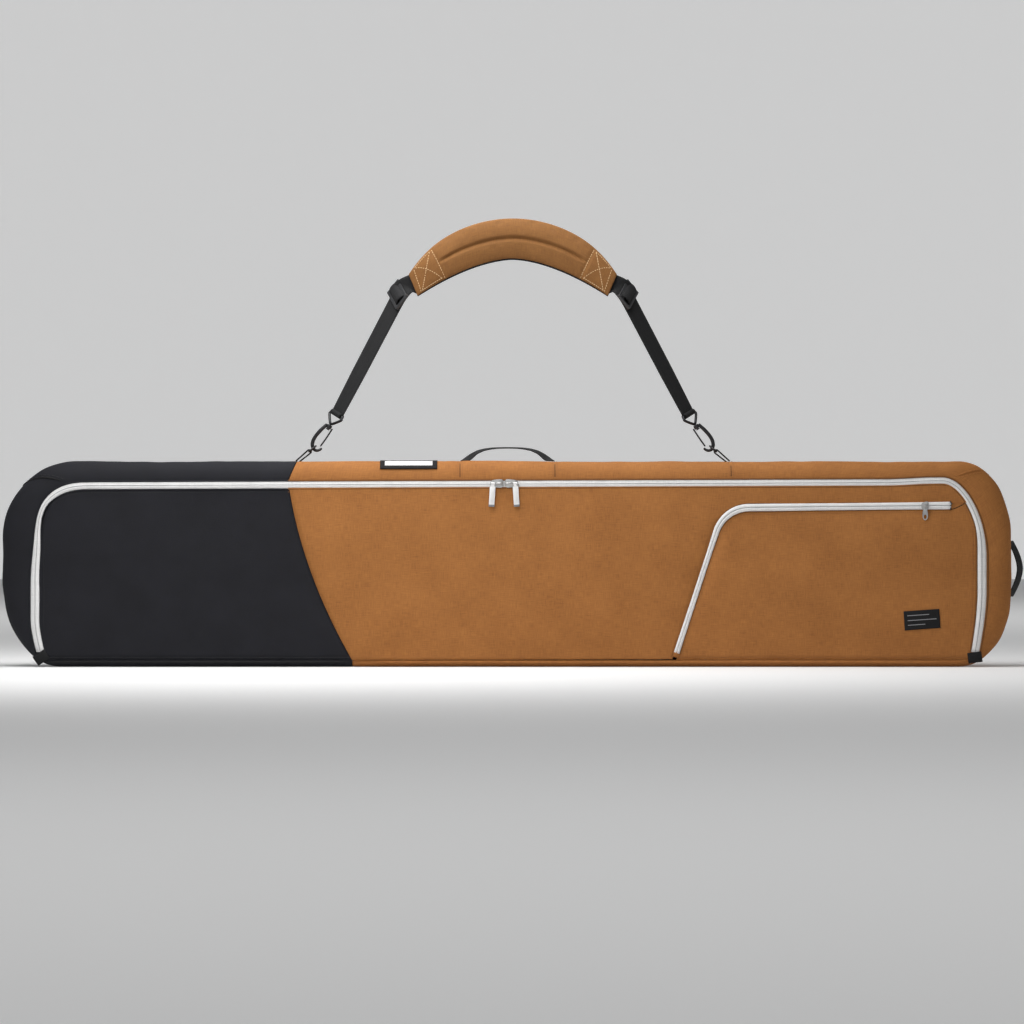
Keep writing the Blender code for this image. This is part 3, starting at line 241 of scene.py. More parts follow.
def weave_group():
    """Plain weave: threads over and under, with slubs and broad uneven dyeing."""
    group, source, sink = surface_group("woven_threads", "Thread", "Rough")
    place = source["Place"]
    spread = node_in(group, "ShaderNodeSeparateXYZ", [(0, place)]).outputs
    turn = sum_of(group, 'DIVIDE', math.pi, source["Thread"])
    warp, weft = (sum_of(group, 'SINE', sum_of(group, 'MULTIPLY', spread[k], turn)) for k in (0, 1))
    crossing = sum_of(group, 'MULTIPLY_ADD', sum_of(group, 'MULTIPLY', warp, weft), 0.5, 0.5)
    ribs = []
    for stretch in ((60.0, 900.0, 60.0), (900.0, 60.0, 60.0)):
        drawn = node_in(group, "ShaderNodeVectorMath", [(0, place), (1, stretch)],
                        operation='MULTIPLY').outputs[0]
        ribs.append(sum_of(group, 'MULTIPLY_ADD', noise_in(group, drawn, 1.0, 2.0), 1.3, -0.40))
    threads = sum_of(group, 'ADD', *ribs)
    tone = sum_of(group, 'ADD', threads, sum_of(group, 'MULTIPLY_ADD', crossing, 0.35, -0.30))
    dye = sum_of(group, 'MULTIPLY_ADD', noise_in(group, place, 14.0, 4.0), 0.8, -0.30)
    tone = sum_of(group, 'ADD', tone, dye)
    rough = sum_of(group, 'MULTIPLY_ADD', threads, 0.25, sum_of(group, 'SUBTRACT', source["Rough"], 0.11))
    group.links.new(mixed(group, tone, source["Dark"], source["Light"], clamp_factor=True), sink["Color"])
    group.links.new(rough, sink["Roughness"])
    group.links.new(sum_of(group, 'MULTIPLY_ADD', threads, 0.8, crossing), sink["Height"])
    return group


woven_threads = weave_group()


def finish_of(name, group, place, values, relief, strength, shading):
    """Material with a node group's colour, roughness and relief, on the place that place(tree) gives."""
    material = bpy.data.materials.new(name)
    material.use_nodes = True
    tree = material.node_tree
    shader = tree.nodes["Principled BSDF"]
    surface = node_in(tree, "ShaderNodeGroup", node_tree=group)
    tree.links.new(place(tree), surface.inputs["Place"])
    tune(surface, values)
    bump = node_in(tree, "ShaderNodeBump", [("Height", surface.outputs["Height"]), ("Distance", relief),
                                            ("Strength", strength)])
    tree.links.new(surface.outputs["Color"], shader.inputs["Base Color"])
    tree.links.new(surface.outputs["Roughness"], shader.inputs["Roughness"])
    tree.links.new(bump.outputs[0], shader.inputs["Normal"])
    tune(shader, shading)
    return material


def cut_place(tree):
    """The piece's own UV map, which is in metres."""
    return node_in(tree, "ShaderNodeUVMap", uv_map="cut").outputs[0]


def cloth_finish(name, light, dark, thread=0.0007, rough=0.80, relief=0.00018, sheen=0.25):
    """Woven cloth."""
    tint = (*[min(1.0, 2.2 * part) for part in light], 1.0)
    values = {"Thread": thread, "Light": (*light, 1.0), "Dark": (*dark, 1.0), "Rough": rough}
    return finish_of(name, woven_threads, cut_place, values, relief, 0.8, {
        "Sheen Weight": sheen, "Sheen Roughness": 0.45, "Sheen Tint": tint, "Specular IOR Level": 0.3})


tan_cloth = cloth_finish("tan_cloth", TAN_LIGHT, TAN_DARK)
black_cloth = cloth_finish("black_cloth", BLACK_LIGHT, BLACK_DARK, sheen=0.15)


def sewn_piece(name, work, finish, body, slot, *stands_for, thick=0.0, offset=-1.0, levels=0, sharp=0.0):
    """Named piece made of a bmesh: riding on a body, or on none, thickened behind its face, made finer."""
    mesh = mesh_of(name, work)
    mesh.shade_smooth()
    if sharp:
        mesh.set_sharp_from_angle(angle=math.radians(sharp))
    mesh.materials.append(finish)
    piece = placed(name, mesh)
    if body:
        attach(piece, body)
    if thick:
        wall = piece.modifiers.new("thickness", 'SOLIDIFY')
        wall.thickness = thick
        wall.offset = offset
    if levels:
        fine = piece.modifiers.new("fine", 'SUBSURF')
        fine.levels = levels
        fine.render_levels = levels
    if stands_for:
        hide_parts(*stands_for)
    return piece


def laid_grid(columns, rows, place, cut=None):
    """Grid with point (u, v), both 0 to 1, at place(u, v); its UV map spans cut metres, or is (x, z)."""
    work = bmesh.new()
    bmesh.ops.create_grid(work, x_segments=columns, y_segments=rows, size=0.5)
    spots = work.loops.layers.uv.new("cut")
    shares = {vert: (vert.co.x + 0.5, vert.co.y + 0.5) for vert in work.verts}
    for vert, (u, v) in shares.items():
        vert.co = place(u, v)
    for face in work.faces:
        for loop in face.loops:
            u, v = shares[loop.vert]
            loop[spots].uv = (u * cut[0], v * cut[1]) if cut else loop.vert.co.xz
    return work


def clamped(value):
    """Value held between 0 and 1."""
    return min(1.0, max(0.0, value))


def eased(value):
    """Smooth step from 0 to 1."""
    share = clamped(value)
    return share * share * (3.0 - 2.0 * share)


def bell(distance, width, power=2):
    """1 at no distance, falling to nothing beyond width."""
    return math.exp(-(distance / width) ** power)


def wave(x, y, z):
    """Smooth noise from -1 to 1."""
    return noise.noise(Vector((x, y, z)))


def between(value, known):
    """Straight interpolation in a row of (value, result) pairs."""
    for (a, first), (b, second) in zip(known, known[1:]):
        if value <= b:
            return first + (second - first) * (value - a) / (b - a)
    return known[-1][1]


def quarter(centre_x, centre_z, reach_x, reach_z, angle, fullness=2.0):
    """Point of a rounded corner at an angle in degrees."""
    way = (math.cos(math.radians(angle)), math.sin(math.radians(angle)))
    x, z = (math.copysign(abs(part) ** (2.0 / fullness), part) for part in way)
    return Vector((centre_x + reach_x * x, centre_z + reach_z * z))


def body_rim(t, inset):
    """Body outline seen from the front; t runs clockwise over four corners and the runs between them."""
    k = int(t // 2) % 4
    share = t - 2.0 * (t // 2)
    x, z, rx, rz, start = BODY_CORNERS[k]
    if share <= 1.0:
        return quarter(x, z, rx - inset, rz - inset, start - 90.0 * share)
    nx, nz, nrx, nrz, nstart = BODY_CORNERS[(k + 1) % 4]
    here = quarter(x, z, rx - inset, rz - inset, start - 90.0)
    return here.lerp(quarter(nx, nz, nrx - inset, nrz - inset, nstart), share - 1.0)


def top_t(x):
    """Value of t at x on the top."""
    return 3.0 + (x - TOP_LEFT) / (TOP_RIGHT - TOP_LEFT)


def lip_height(x, offset):
    """Height of the line offset inside the zip's outer edge along the top; it lifts at the right corner."""
    return LIP_TOP - offset + LIP_SLOPE * x + LIP_LIFT * eased((x - LIP_LIFT_START) / LIP_LIFT_RUN)


def lip_lean(side, z, share):
    """How far the zip leans in towards its left corner at height z; share runs up round that corner."""
    if side > 0:
        return 0.0
    return LIP_LEAN * eased((z - LIP_LEAN_START) / LIP_LEAN_RUN) * (1.0 - share ** 4)


def lip_side(side, z, offset):
    """X of the line offset inside the zip's outer edge at one end, drawn in towards its foot."""
    drawn = LIP_DRAWN * max(0.0, 1.0 - z / LIP_DRAWN_BELOW[side > 0]) ** 1.5
    return side * (HALF_LENGTH - LIP_INSET[side > 0] - offset - drawn - lip_lean(side, z, 0.0))


def lip_centre(side):
    """Middle (x, z) of the zip's top corner."""
    rx, rz, _ = LIP_CORNERS[side > 0]
    x = side * (HALF_LENGTH - LIP_INSET[side > 0] - rx)
    return x, lip_height(x, 0.0) - rz


def lip_corner(side, share, offset):
    """Top corner of the zip's line; share runs clockwise from 0 to 1."""
    rx, rz, fullness = LIP_CORNERS[side > 0]
    start = 180.0 if side < 0 else 90.0
    spot = quarter(*lip_centre(side), rx - offset, rz - offset, start - 90.0 * share, fullness)
    spot.x += lip_lean(side, spot.y, share)
    return spot


def lip_rim(t):
    """The zip's outer edge, point for point like body_rim."""
    k = math.floor(t) % 8
    share = t - math.floor(t)
    foot_share = 0.25
    side = -1 if k < 3 else 1
    rise = share if side < 0 else 1.0 - share
    low_x, low_z = BODY_CORNERS[0 if side < 0 else 3][:2]
    if k in (0, 6):
        if rise < foot_share:
            return Vector((low_x + (lip_side(side, LIP_FOOT, 0.0) - low_x) * rise / foot_share, LIP_FOOT))
        z = LIP_FOOT + (low_z - LIP_FOOT) * (rise - foot_share) / (1.0 - foot_share)
        return Vector((lip_side(side, z, 0.0), z))
    if k in (2, 4):
        return lip_corner(side, share, 0.0)
    if k in (1, 5):
        head = lip_corner(side, 0.0 if side < 0 else 1.0, 0.0).y
        z = low_z + (head - low_z) * rise
        return Vector((lip_side(side, z, 0.0), z))
    x = body_rim(t, 0.0).x
    if k == 7:
        return Vector((x, LIP_FOOT))
    x = between(x, ((TOP_LEFT, LIP_RUN[0]), (SEAM_TOP, SEAM_ZIP), (HANDLE_SEAMS[0], HANDLE_SEAMS[0]),
                    (RIGHT_SEAM, RIGHT_SEAM), (TOP_RIGHT, LIP_RUN[1])))
    return Vector((x, lip_height(x, 0.0)))


def gusset_point(t, across, depth):
    """Point of the gusset wall; across runs from the zip's edge (0) to the back seam (1)."""
    side = body_rim(t, depth)
    if across <= FRONT_SHARE:
        angle = math.pi / 2 * across / FRONT_SHARE
        spot = lip_rim(t).lerp(side, math.sin(angle))
        return Vector((spot.x, BAG_FRONT + EDGE - (EDGE - depth) * math.cos(angle), spot.y))
    if across <= BACK_SHARE:
        share = (across - FRONT_SHARE) / (BACK_SHARE - FRONT_SHARE)
        return Vector((side.x, BAG_FRONT + EDGE + (BACK - BAG_FRONT - 2 * EDGE) * share, side.y))
    angle = math.pi / 2 * (across - BACK_SHARE) / (1.0 - BACK_SHARE)
    spot = side.lerp(body_rim(t, EDGE), 1.0 - math.cos(angle))
    return Vector((spot.x, BACK - EDGE + (EDGE - depth) * math.sin(angle), spot.y))


def even_turns(start, end, steps):
    """Values of t from start to end at even distances along the body's outline."""
    fine = 1600
    stops = [start + (end - start) * k / fine for k in range(fine + 1)]
    runs = [0.0]
    for a, b in zip(stops, stops[1:]):
        runs.append(runs[-1] + (body_rim(b, 0.0) - body_rim(a, 0.0)).length)
    turns = []
    k = 0
    for step in range(steps + 1):
        goal = runs[-1] * step / steps
        while k < fine - 1 and runs[k + 1] < goal:
            k += 1
        turns.append(stops[k] + (stops[k + 1] - stops[k]) * (goal - runs[k]) / (runs[k + 1] - runs[k]))
    return turns, runs[-1]


def gusset_swell(across, point):
    """Outward fullness of the band: soft bulges, short folds beside the seams, none at its edges."""
    edge = min(1.0, across / 0.22) ** 2 * min(1.0, (1.0 - across) / 0.12)
    broad = noise.noise(point * 6.0) * 0.0018 + noise.noise(point * 15.0 + Vector((3.0, 1.0, 5.0))) * 0.0012
    for spot in SEWN_SPOTS:
        edge *= 1.0 - 0.9 * bell((point - Vector(spot)).length, 0.030, 4)
    ends = min(1.0, abs(point.x) / 0.72) ** 6
    folds = wave(point.x * 34.0, point.y * 9.0, point.z * 34.0) * (0.0006 + 0.0008 * ends)
    pull = 0.0
    if point.z > 0.30:
        pull = sum(bell(point.x - spot, 0.004) for spot in (*HANDLE_SEAMS, RIGHT_SEAM))
        near = sum(bell(point.x - spot, 0.030) for spot in (*HANDLE_SEAMS, RIGHT_SEAM, SEAM_TOP))
        folds += near * wave(point.x * 20.0, point.y * 75.0, point.z * 75.0) * 0.0014
    swell = broad * (1.0 - 0.4 * ends) + folds - 0.0012 * pull
    on_base = point.z < 0.004
    return (min(0.0, swell) * 0.3 if on_base else swell) * edge


def gusset_face(t, across):
    """Point on the swollen outside of the gusset, and the way out of it."""
    point = gusset_point(t, across, 0.0)
    along = gusset_point(t + 0.002, across, 0.0) - gusset_point(t - 0.002, across, 0.0)
    over = gusset_point(t, min(1.0, across + 0.004), 0.0) - gusset_point(t, max(0.0, across - 0.004), 0.0)
    out = along.cross(over).normalized()
    return point + out * gusset_swell(across, point), out


def gusset_cloth(name, start, end, columns, finish, slot, *stands_for):
    """One length of the gusset between two values of t."""
    turns, length = even_turns(start, end, columns)

    def place(u, v):
        k = min(int(u * columns), columns - 1)
        return gusset_face(turns[k] + (turns[k + 1] - turns[k]) * (u * columns - k), v)[0]

    work = laid_grid(columns, 30, place, (length, BAND_WIDTH))
    sewn_piece(name, work, finish, "bag", slot, *stands_for, thick=CLOTH, levels=1)


SEAM_TOP_T = top_t(SEAM_TOP)
SEAM_BASE_T = 7.0 + (TOP_RIGHT - SEAM_BASE) / (TOP_RIGHT - BASE_LEFT)
gusset_cloth("gusset_black", SEAM_BASE_T - 8.0, SEAM_TOP_T, 190, black_cloth, "black_fabric",
             "end_gusset_left", "top_gusset_black", "base_panel_black")
gusset_cloth("gusset_tan", SEAM_TOP_T, SEAM_BASE_T, 300, tan_cloth, "tan_fabric", "top_gusset_left",
             "handle_panel", "top_gusset_middle", "top_gusset_right", "end_gusset_right", "base_panel_tan")

# Back panel: the flat side that lies against the leg, black and tan cloth joined on a slanted seam
# and sewn to the gusset all round. It sags a little between its seams.
def colour_seam(z):
    """X of the slanted seam between black and tan at height z."""
    share = (LIP_TOP - z) / (LIP_TOP - LIP_FOOT)
    straight = SEAM_BASE - SEAM_ZIP - SEAM_BOW
    return SEAM_ZIP + straight * share + SEAM_BOW * share * share


def rim_side(side, z, inset):
    """X of the body's outline, drawn in by inset, at height z on the left (-1) or right (1)."""
    low, high = (BODY_CORNERS[0], BODY_CORNERS[1]) if side < 0 else (BODY_CORNERS[3], BODY_CORNERS[2])
    x, centre_z, rx, rz, _ = low if z < low[1] else high
    if low[1] <= z <= high[1]:
        return side * (HALF_LENGTH - inset)
    rise = min(1.0, abs(z - centre_z) / (rz - inset))
    return x + side * (rx - inset) * math.sqrt(1.0 - rise * rise)


def back_cloth(name, side, columns, finish, slot, node):
    """Half of the back panel, from the slanted seam to one end."""
    def place(u, v):
        z = EDGE + (HEIGHT - 2 * EDGE) * 0.5 * (1.0 - math.cos(math.pi * v))
        near, far = colour_seam(z), rim_side(side, z, EDGE)
        x = near + (far - near) * (u if side < 0 else 1.0 - u)
        edge = min(1.0, v * (1.0 - v) * 9.0) * min(1.0, abs(x - far) / 0.05) * min(1.0, abs(x - near) / 0.03)
        sag = wave(x * 6.0, 4.0, z * 9.0) * 0.0025 + wave(x * 30.0, 9.0, z * 22.0) * 0.0005
        return Vector((x, BACK + edge * (0.0025 + sag), z))

    sewn_piece(name, laid_grid(columns, 40, place), finish, "bag", slot, node, thick=CLOTH)


back_cloth("back_black", -1, 60, black_cloth, "black_fabric", "back_panel_black")
back_cloth("back_tan", 1, 110, tan_cloth, "tan_fabric", "back_panel_tan")

# Lining: thin grey nylon over the foam, inside the gusset and the back. The foam between lining and
# cloth never shows, so the lining stands for it too.
LINING_DEPTH = 0.0071
LINING_LIGHT = (0.150, 0.152, 0.160)
LINING_DARK = (0.085, 0.086, 0.092)
lining_cloth = cloth_finish("grey_lining", LINING_LIGHT, LINING_DARK, 0.0005, 0.55, 0.00008, 0.1)


def lining_place(u, v):
    """Inside of the gusset; u runs backwards round the bag so that the face looks inwards."""
    point = gusset_point(8.0 * (1.0 - u), 0.10 + 0.88 * v, LINING_DEPTH)
    inwards = Vector((-point.x * 0.3, 0.0, 0.17 - point.z)).normalized()
    fold = max(0.0, wave(point.x * 14.0, point.y * 16.0, point.z * 14.0))
    return point + inwards * fold * 0.003 * min(1.0, v * 6.0, (1.0 - v) * 6.0)


def back_inside_place(u, v):
    """Inside of the back panel, facing the front."""
    z = 0.0255 + 0.305 * 0.5 * (1.0 - math.cos(math.pi * v))
    left, right = rim_side(-1, z, 0.026), rim_side(1, z, 0.026)
    x = left + (right - left) * u
    slack = max(0.0, wave(x * 8.0, 2.0, z * 10.0) * 0.003)
    return Vector((x, BACK - 0.0080 - slack * min(1.0, v * (1.0 - v) * 8.0), z))


work = laid_grid(260, 20, lining_place, (3.9, 0.160))
bmesh.ops.remove_doubles(work, verts=work.verts, dist=0.00005)
sewn_piece("gusset_inside", work, lining_cloth, "bag", "lining", "gusset_lining", "gusset_foam", thick=0.0008)
sewn_piece("back_inside", laid_grid(120, 24, back_inside_place, (1.70, 0.306)), lining_cloth, "bag", "lining",
           "back_lining", "back_foam", thick=0.0006)

# Front flap: the lid that the main zip frees on three sides. Black cloth, tan cloth and the tan pocket
# front are sewn edge to edge over foam; the panels swell softly between their seams.
ZIP_WIDTH = 0.0132
FLAP_FOOT = 0.0123
FLAP_FULL = 0.0072
FLAP_LIFT = 0.0002
TUCK = 0.0016
FLAP_EDGE = ZIP_WIDTH - TUCK
POCKET_HALF = ZIP_WIDTH / 2
POCKET_END = 0.7685
POCKET_BEND = 0.060
POCKET_LEAN = 0.327
POCKET_SLOPE = 0.0102
POCKET_FOOT_X = 0.2885
POCKET_TOP = 0.2746
POCKET_SPREAD = ((0.0, 0.74), (0.15, 0.68), (0.30, 0.68), (0.37, 0.82), (0.43, 0.96), (0.55, 0.96),
                 (0.72, 0.90), (0.88, 0.93), (1.0, 1.0))
LEAN_WAY = Vector((POCKET_LEAN, 1.0)).normalized()
LEVEL_WAY = Vector((1.0, POCKET_SLOPE)).normalized()
meet_x = (POCKET_FOOT_X + POCKET_LEAN * (POCKET_TOP - FLAP_FOOT)) / (1.0 - POCKET_LEAN * POCKET_SLOPE)
POCKET_MEET = Vector((meet_x, POCKET_TOP + POCKET_SLOPE * (meet_x - POCKET_FOOT_X)))
POCKET_TURN = math.acos(LEAN_WAY.dot(LEVEL_WAY))
POCKET_TANGENT = POCKET_BEND * math.tan(POCKET_TURN / 2)
BEND_START = POCKET_MEET - LEAN_WAY * POCKET_TANGENT
BEND_MIDDLE = BEND_START + Vector((LEAN_WAY.y, -LEAN_WAY.x)) * POCKET_BEND


def pocket_zip(share, offset):
    """Middle of the pocket zip moved sideways (up and left is positive): foot at 0, bend, end at 1.

    The tape is pulled narrower on its sloping run and round the bend, so offset shrinks there.
    """
    offset *= between(share, POCKET_SPREAD)
    lean_run = (BEND_START.y - FLAP_FOOT) / LEAN_WAY.y
    bend_run = POCKET_BEND * POCKET_TURN
    level_run = (POCKET_END - POCKET_MEET.x) / LEVEL_WAY.x - POCKET_TANGENT
    run = share * (lean_run + bend_run + level_run)
    if run < lean_run:
        return BEND_START + Vector((-LEAN_WAY.y, LEAN_WAY.x)) * offset - LEAN_WAY * (lean_run - run)
    if run < lean_run + bend_run:
        angle = math.atan2(LEAN_WAY.x, -LEAN_WAY.y) - (run - lean_run) / POCKET_BEND
        return BEND_MIDDLE + Vector((math.cos(angle), math.sin(angle))) * (POCKET_BEND + offset)
    past = POCKET_TANGENT + run - lean_run - bend_run
    return POCKET_MEET + LEVEL_WAY * past + Vector((-LEVEL_WAY.y, LEVEL_WAY.x)) * offset


def flap_edge(side, z, offset):
    """X of the flap's edge line at height z, offset inside the zip's outer edge."""
    rx, rz, fullness = LIP_CORNERS[side > 0]
    x, centre_z = lip_centre(side)
    if z <= centre_z:
        return lip_side(side, z, offset)
    rise = min(1.0, (z - centre_z) / (rz - offset))
    lean = lip_lean(side, z, math.asin(rise ** (fullness / 2.0)) / (math.pi / 2))
    return x + side * (rx - offset) * (1.0 - rise ** fullness) ** (1.0 / fullness) + lean


pocket_marks = [pocket_zip(k / 70.0, 0.0) for k in range(71)]


def flap_swell(x, z):
    """How far the flap stands proud of its seams."""
    side_z = min(z, 0.31)
    edge_x = min(x - flap_edge(-1, side_z, ZIP_WIDTH), flap_edge(1, side_z, ZIP_WIDTH) - x)
    edge_z = min(z - FLAP_FOOT, lip_height(x, ZIP_WIDTH) - z)
    edge = max(0.0, min(edge_x, edge_z))
    full = FLAP_FULL * (1.0 - bell(edge, 0.060, 1.3))
    broad = wave(x * 3.6, 7.0, z * 6.5) * 0.0030
    middle = wave(x * 11.0 + z * 7.0, 3.0, z * 9.0) * 0.0010
    small = wave(x * 46.0, 5.0, z * 16.0) * 0.0011 * bell(edge_z, 0.022, 1)
    sewn = 1.0 - 0.55 * bell(x - colour_seam(z), 0.010)
    spot = Vector((x, z))
    sewn *= 1.0 - bell(min((spot - mark).length for mark in pocket_marks), 0.017)
    under_pulls = bell(x + 0.005, 0.045, 4) * bell(z - 0.300, 0.040, 4)
    crease = bell(x - 0.3946 - 0.44 * (z - 0.3116), 0.0028) * (z > 0.266)
    swell = (full + (broad + middle) * min(1.0, edge / 0.030)) * sewn * (1.0 - 0.75 * under_pulls)
    return max(0.0, swell + small * min(1.0, edge / 0.006) - 0.0009 * crease)


def on_flap(x, z, lift=0.0):
    """Point on the flap's front, lifted off it."""
    return Vector((x, BAG_FRONT + FLAP_LIFT - flap_swell(x, z) - lift, z))


def flap_black_spot(u, v):
    """Black panel: from the zip on the left to the slanted seam."""
    rise = math.sin(math.pi / 2 * v)
    z = FLAP_FOOT + (lip_height(-0.55, FLAP_EDGE) - FLAP_FOOT) * rise
    left = flap_edge(-1, z, FLAP_EDGE)
    x = left + (colour_seam(z) - left) * u
    return x, FLAP_FOOT + (lip_height(x, FLAP_EDGE) - FLAP_FOOT) * rise


def flap_tan_spot(u, v):
    """Tan panel: an L round the pocket, from the pocket zip out to the slanted seam and the main zip."""
    seam_end = 0.2846
    lean_share = 0.36
    bend_share = 0.295
    zip_share = 0.94
    top_share = 0.80
    if u < lean_share:
        share = u / lean_share
        inner = pocket_zip(bend_share * share, POCKET_HALF - TUCK)
        z = FLAP_FOOT + (lip_height(0.0, FLAP_EDGE) - FLAP_FOOT) * share
        outer = Vector((colour_seam(z), z))
    else:
        share = (u - lean_share) / (1.0 - lean_share)
        on_zip = min(1.0, bend_share + (1.0 - bend_share) * share / zip_share)
        inner = pocket_zip(on_zip, POCKET_HALF - TUCK)
        if share > zip_share:
            stop = Vector((flap_edge(1, seam_end, FLAP_EDGE), seam_end))
            inner = inner.lerp(stop, (share - zip_share) / (1.0 - zip_share))
        if share < top_share:
            x = SEAM_ZIP + (LIP_RUN[1] - SEAM_ZIP) * share / top_share
            outer = Vector((x, lip_height(x, FLAP_EDGE)))
        else:
            high = lip_height(LIP_RUN[1], FLAP_EDGE)
            z = high - (high - seam_end) * ((share - top_share) / (1.0 - top_share)) ** 2
            outer = Vector((flap_edge(1, z, FLAP_EDGE), z))
    return tuple(inner.lerp(outer, 1.0 - v))


def pocket_spot(u, v):
    """Pocket front: inside the pocket zip's lean and bend, out to the main zip at the right end."""
    offset = TUCK - POCKET_HALF
    bend = POCKET_BEND + offset
    foot = pocket_zip(0.0, offset)
    bend_foot = BEND_START + Vector((-LEAN_WAY.y, LEAN_WAY.x)) * offset
    rise = math.sin(math.pi / 2 * v)
    z = FLAP_FOOT + (BEND_MIDDLE.y + bend - FLAP_FOOT) * rise
    if z < bend_foot.y:
        left = foot.x + (bend_foot.x - foot.x) * (z - FLAP_FOOT) / (bend_foot.y - FLAP_FOOT)
    else:
        left = BEND_MIDDLE.x - math.sqrt(max(0.0, bend ** 2 - (z - BEND_MIDDLE.y) ** 2))
    x = left + (flap_edge(1, z, FLAP_EDGE) - left) * u
    past = clamped((x - POCKET_END + 0.002) / 0.006)
    top = POCKET_MEET.y + offset + POCKET_SLOPE * (x - POCKET_MEET.x) + 0.0125 * past
    return x, FLAP_FOOT + (top - FLAP_FOOT) * rise


for name, columns, rows, spot, finish, slot, *stands_for in (
        ("flap_pocket", 90, 44, pocket_spot, tan_cloth, "tan_fabric", "pocket_panel", "pocket_lining"),
        ("flap_black", 70, 44, flap_black_spot, black_cloth, "black_fabric", "front_panel_black"),
        ("flap_tan", 150, 70, flap_tan_spot, tan_cloth, "tan_fabric", "front_panel_tan")):
    work = laid_grid(columns, rows, lambda u, v: on_flap(*spot(u, v)))
    sewn_piece(name, work, finish, "flap", slot, *stands_for, thick=CLOTH)


# Flap lining: the same grey nylon on the inside of the flap, turned in beside the zip and loose over
# the flap's foam, which it stands for.
def flap_inside_place(u, v):
    """Inside of the flap, facing the back."""
    offset = ZIP_WIDTH + 0.005
    foot = FLAP_FOOT + 0.005
    z = foot + (lip_height(0.0, offset) - foot) * math.sin(math.pi / 2 * v)
    left, right = flap_edge(-1, z, offset), flap_edge(1, z, offset)
    x = right + (left - right) * u
    slack = max(0.0, wave(x * 7.0, 1.0, z * 11.0) * 0.0022)
    return Vector((x, BAG_FRONT + 0.0094 + slack * min(1.0, 8.0 * u * (1.0 - u), 6.0 * v * (1.0 - v)), z))


sewn_piece("flap_inside", laid_grid(130, 26, flap_inside_place, (1.63, 0.29)), lining_cloth, "flap", "lining",
           "flap_lining", "flap_foam", thick=0.0008)

# Zips: pale grey woven tape, folded along the middle over a nylon coil that shows as a thin line.
# The main zip's outer tape is sewn to the gusset and its inner tape to the flap; black cloth tabs
# close its two ends. The pocket zip lies wholly on the flap.
TAPE_LIGHT = (0.800, 0.795, 0.787)
TAPE_DARK = (0.640, 0.636, 0.630)
COIL_LIGHT = (0.420, 0.420, 0.425)
COIL_DARK = (0.300, 0.300, 0.305)
ZIP_END = 0.026
TAPE_THICK = 0.0009
CORNER_RUNS = (0.150, 0.175)
LEFT_SPREAD = ((0.0, 1.15), (0.050, 1.22), (0.133, 1.28), (0.200, 1.08), (0.235, 0.82), (0.258, 0.64),
               (0.285, 0.64), (0.302, 0.84), (0.318, 1.0))
RIGHT_SPREAD = ((0.0, 1.15), (0.050, 1.20), (0.110, 1.30), (0.200, 1.30), (0.250, 1.0), (0.300, 1.05),
                (0.335, 1.0))
tape_cloth = cloth_finish("zip_tape_cloth", TAPE_LIGHT, TAPE_DARK, 0.0006, 0.78, 0.00010, 0.1)
coil_nylon = cloth_finish("zip_coil", COIL_LIGHT, COIL_DARK, 0.0009, 0.45, 0.00030, 0.0)


def main_zip(share, offset):
    """Line offset inside the main zip's outer edge: left foot at 0, over the top, right foot at 1.

    More of the tape shows low on the sides, and less of it in the left corner."""
    left_run = lip_corner(-1, 0.0, 0.0).y - ZIP_END
    right_run = lip_corner(1, 1.0, 0.0).y - ZIP_END
    top_run = LIP_RUN[1] - LIP_RUN[0]
    run = share * (left_run + CORNER_RUNS[0] + top_run + CORNER_RUNS[1] + right_run)
    top_start = left_run + CORNER_RUNS[0]
    if top_start < run <= top_start + top_run:
        x = LIP_RUN[0] + run - top_start
        return Vector((x, lip_height(x, offset)))
    side, spread = (-1, LEFT_SPREAD) if run <= top_start else (1, RIGHT_SPREAD)
    turn = run - left_run if side < 0 else run - top_start - top_run
    if 0.0 < turn <= CORNER_RUNS[side > 0]:
        turn /= CORNER_RUNS[side > 0]
        return lip_corner(side, turn, offset * between(lip_corner(side, turn, 0.0).y, spread))
    z = ZIP_END + (run if side < 0 else right_run + CORNER_RUNS[1] - turn)
    return Vector((lip_side(side, z, offset * between(z, spread)), z))


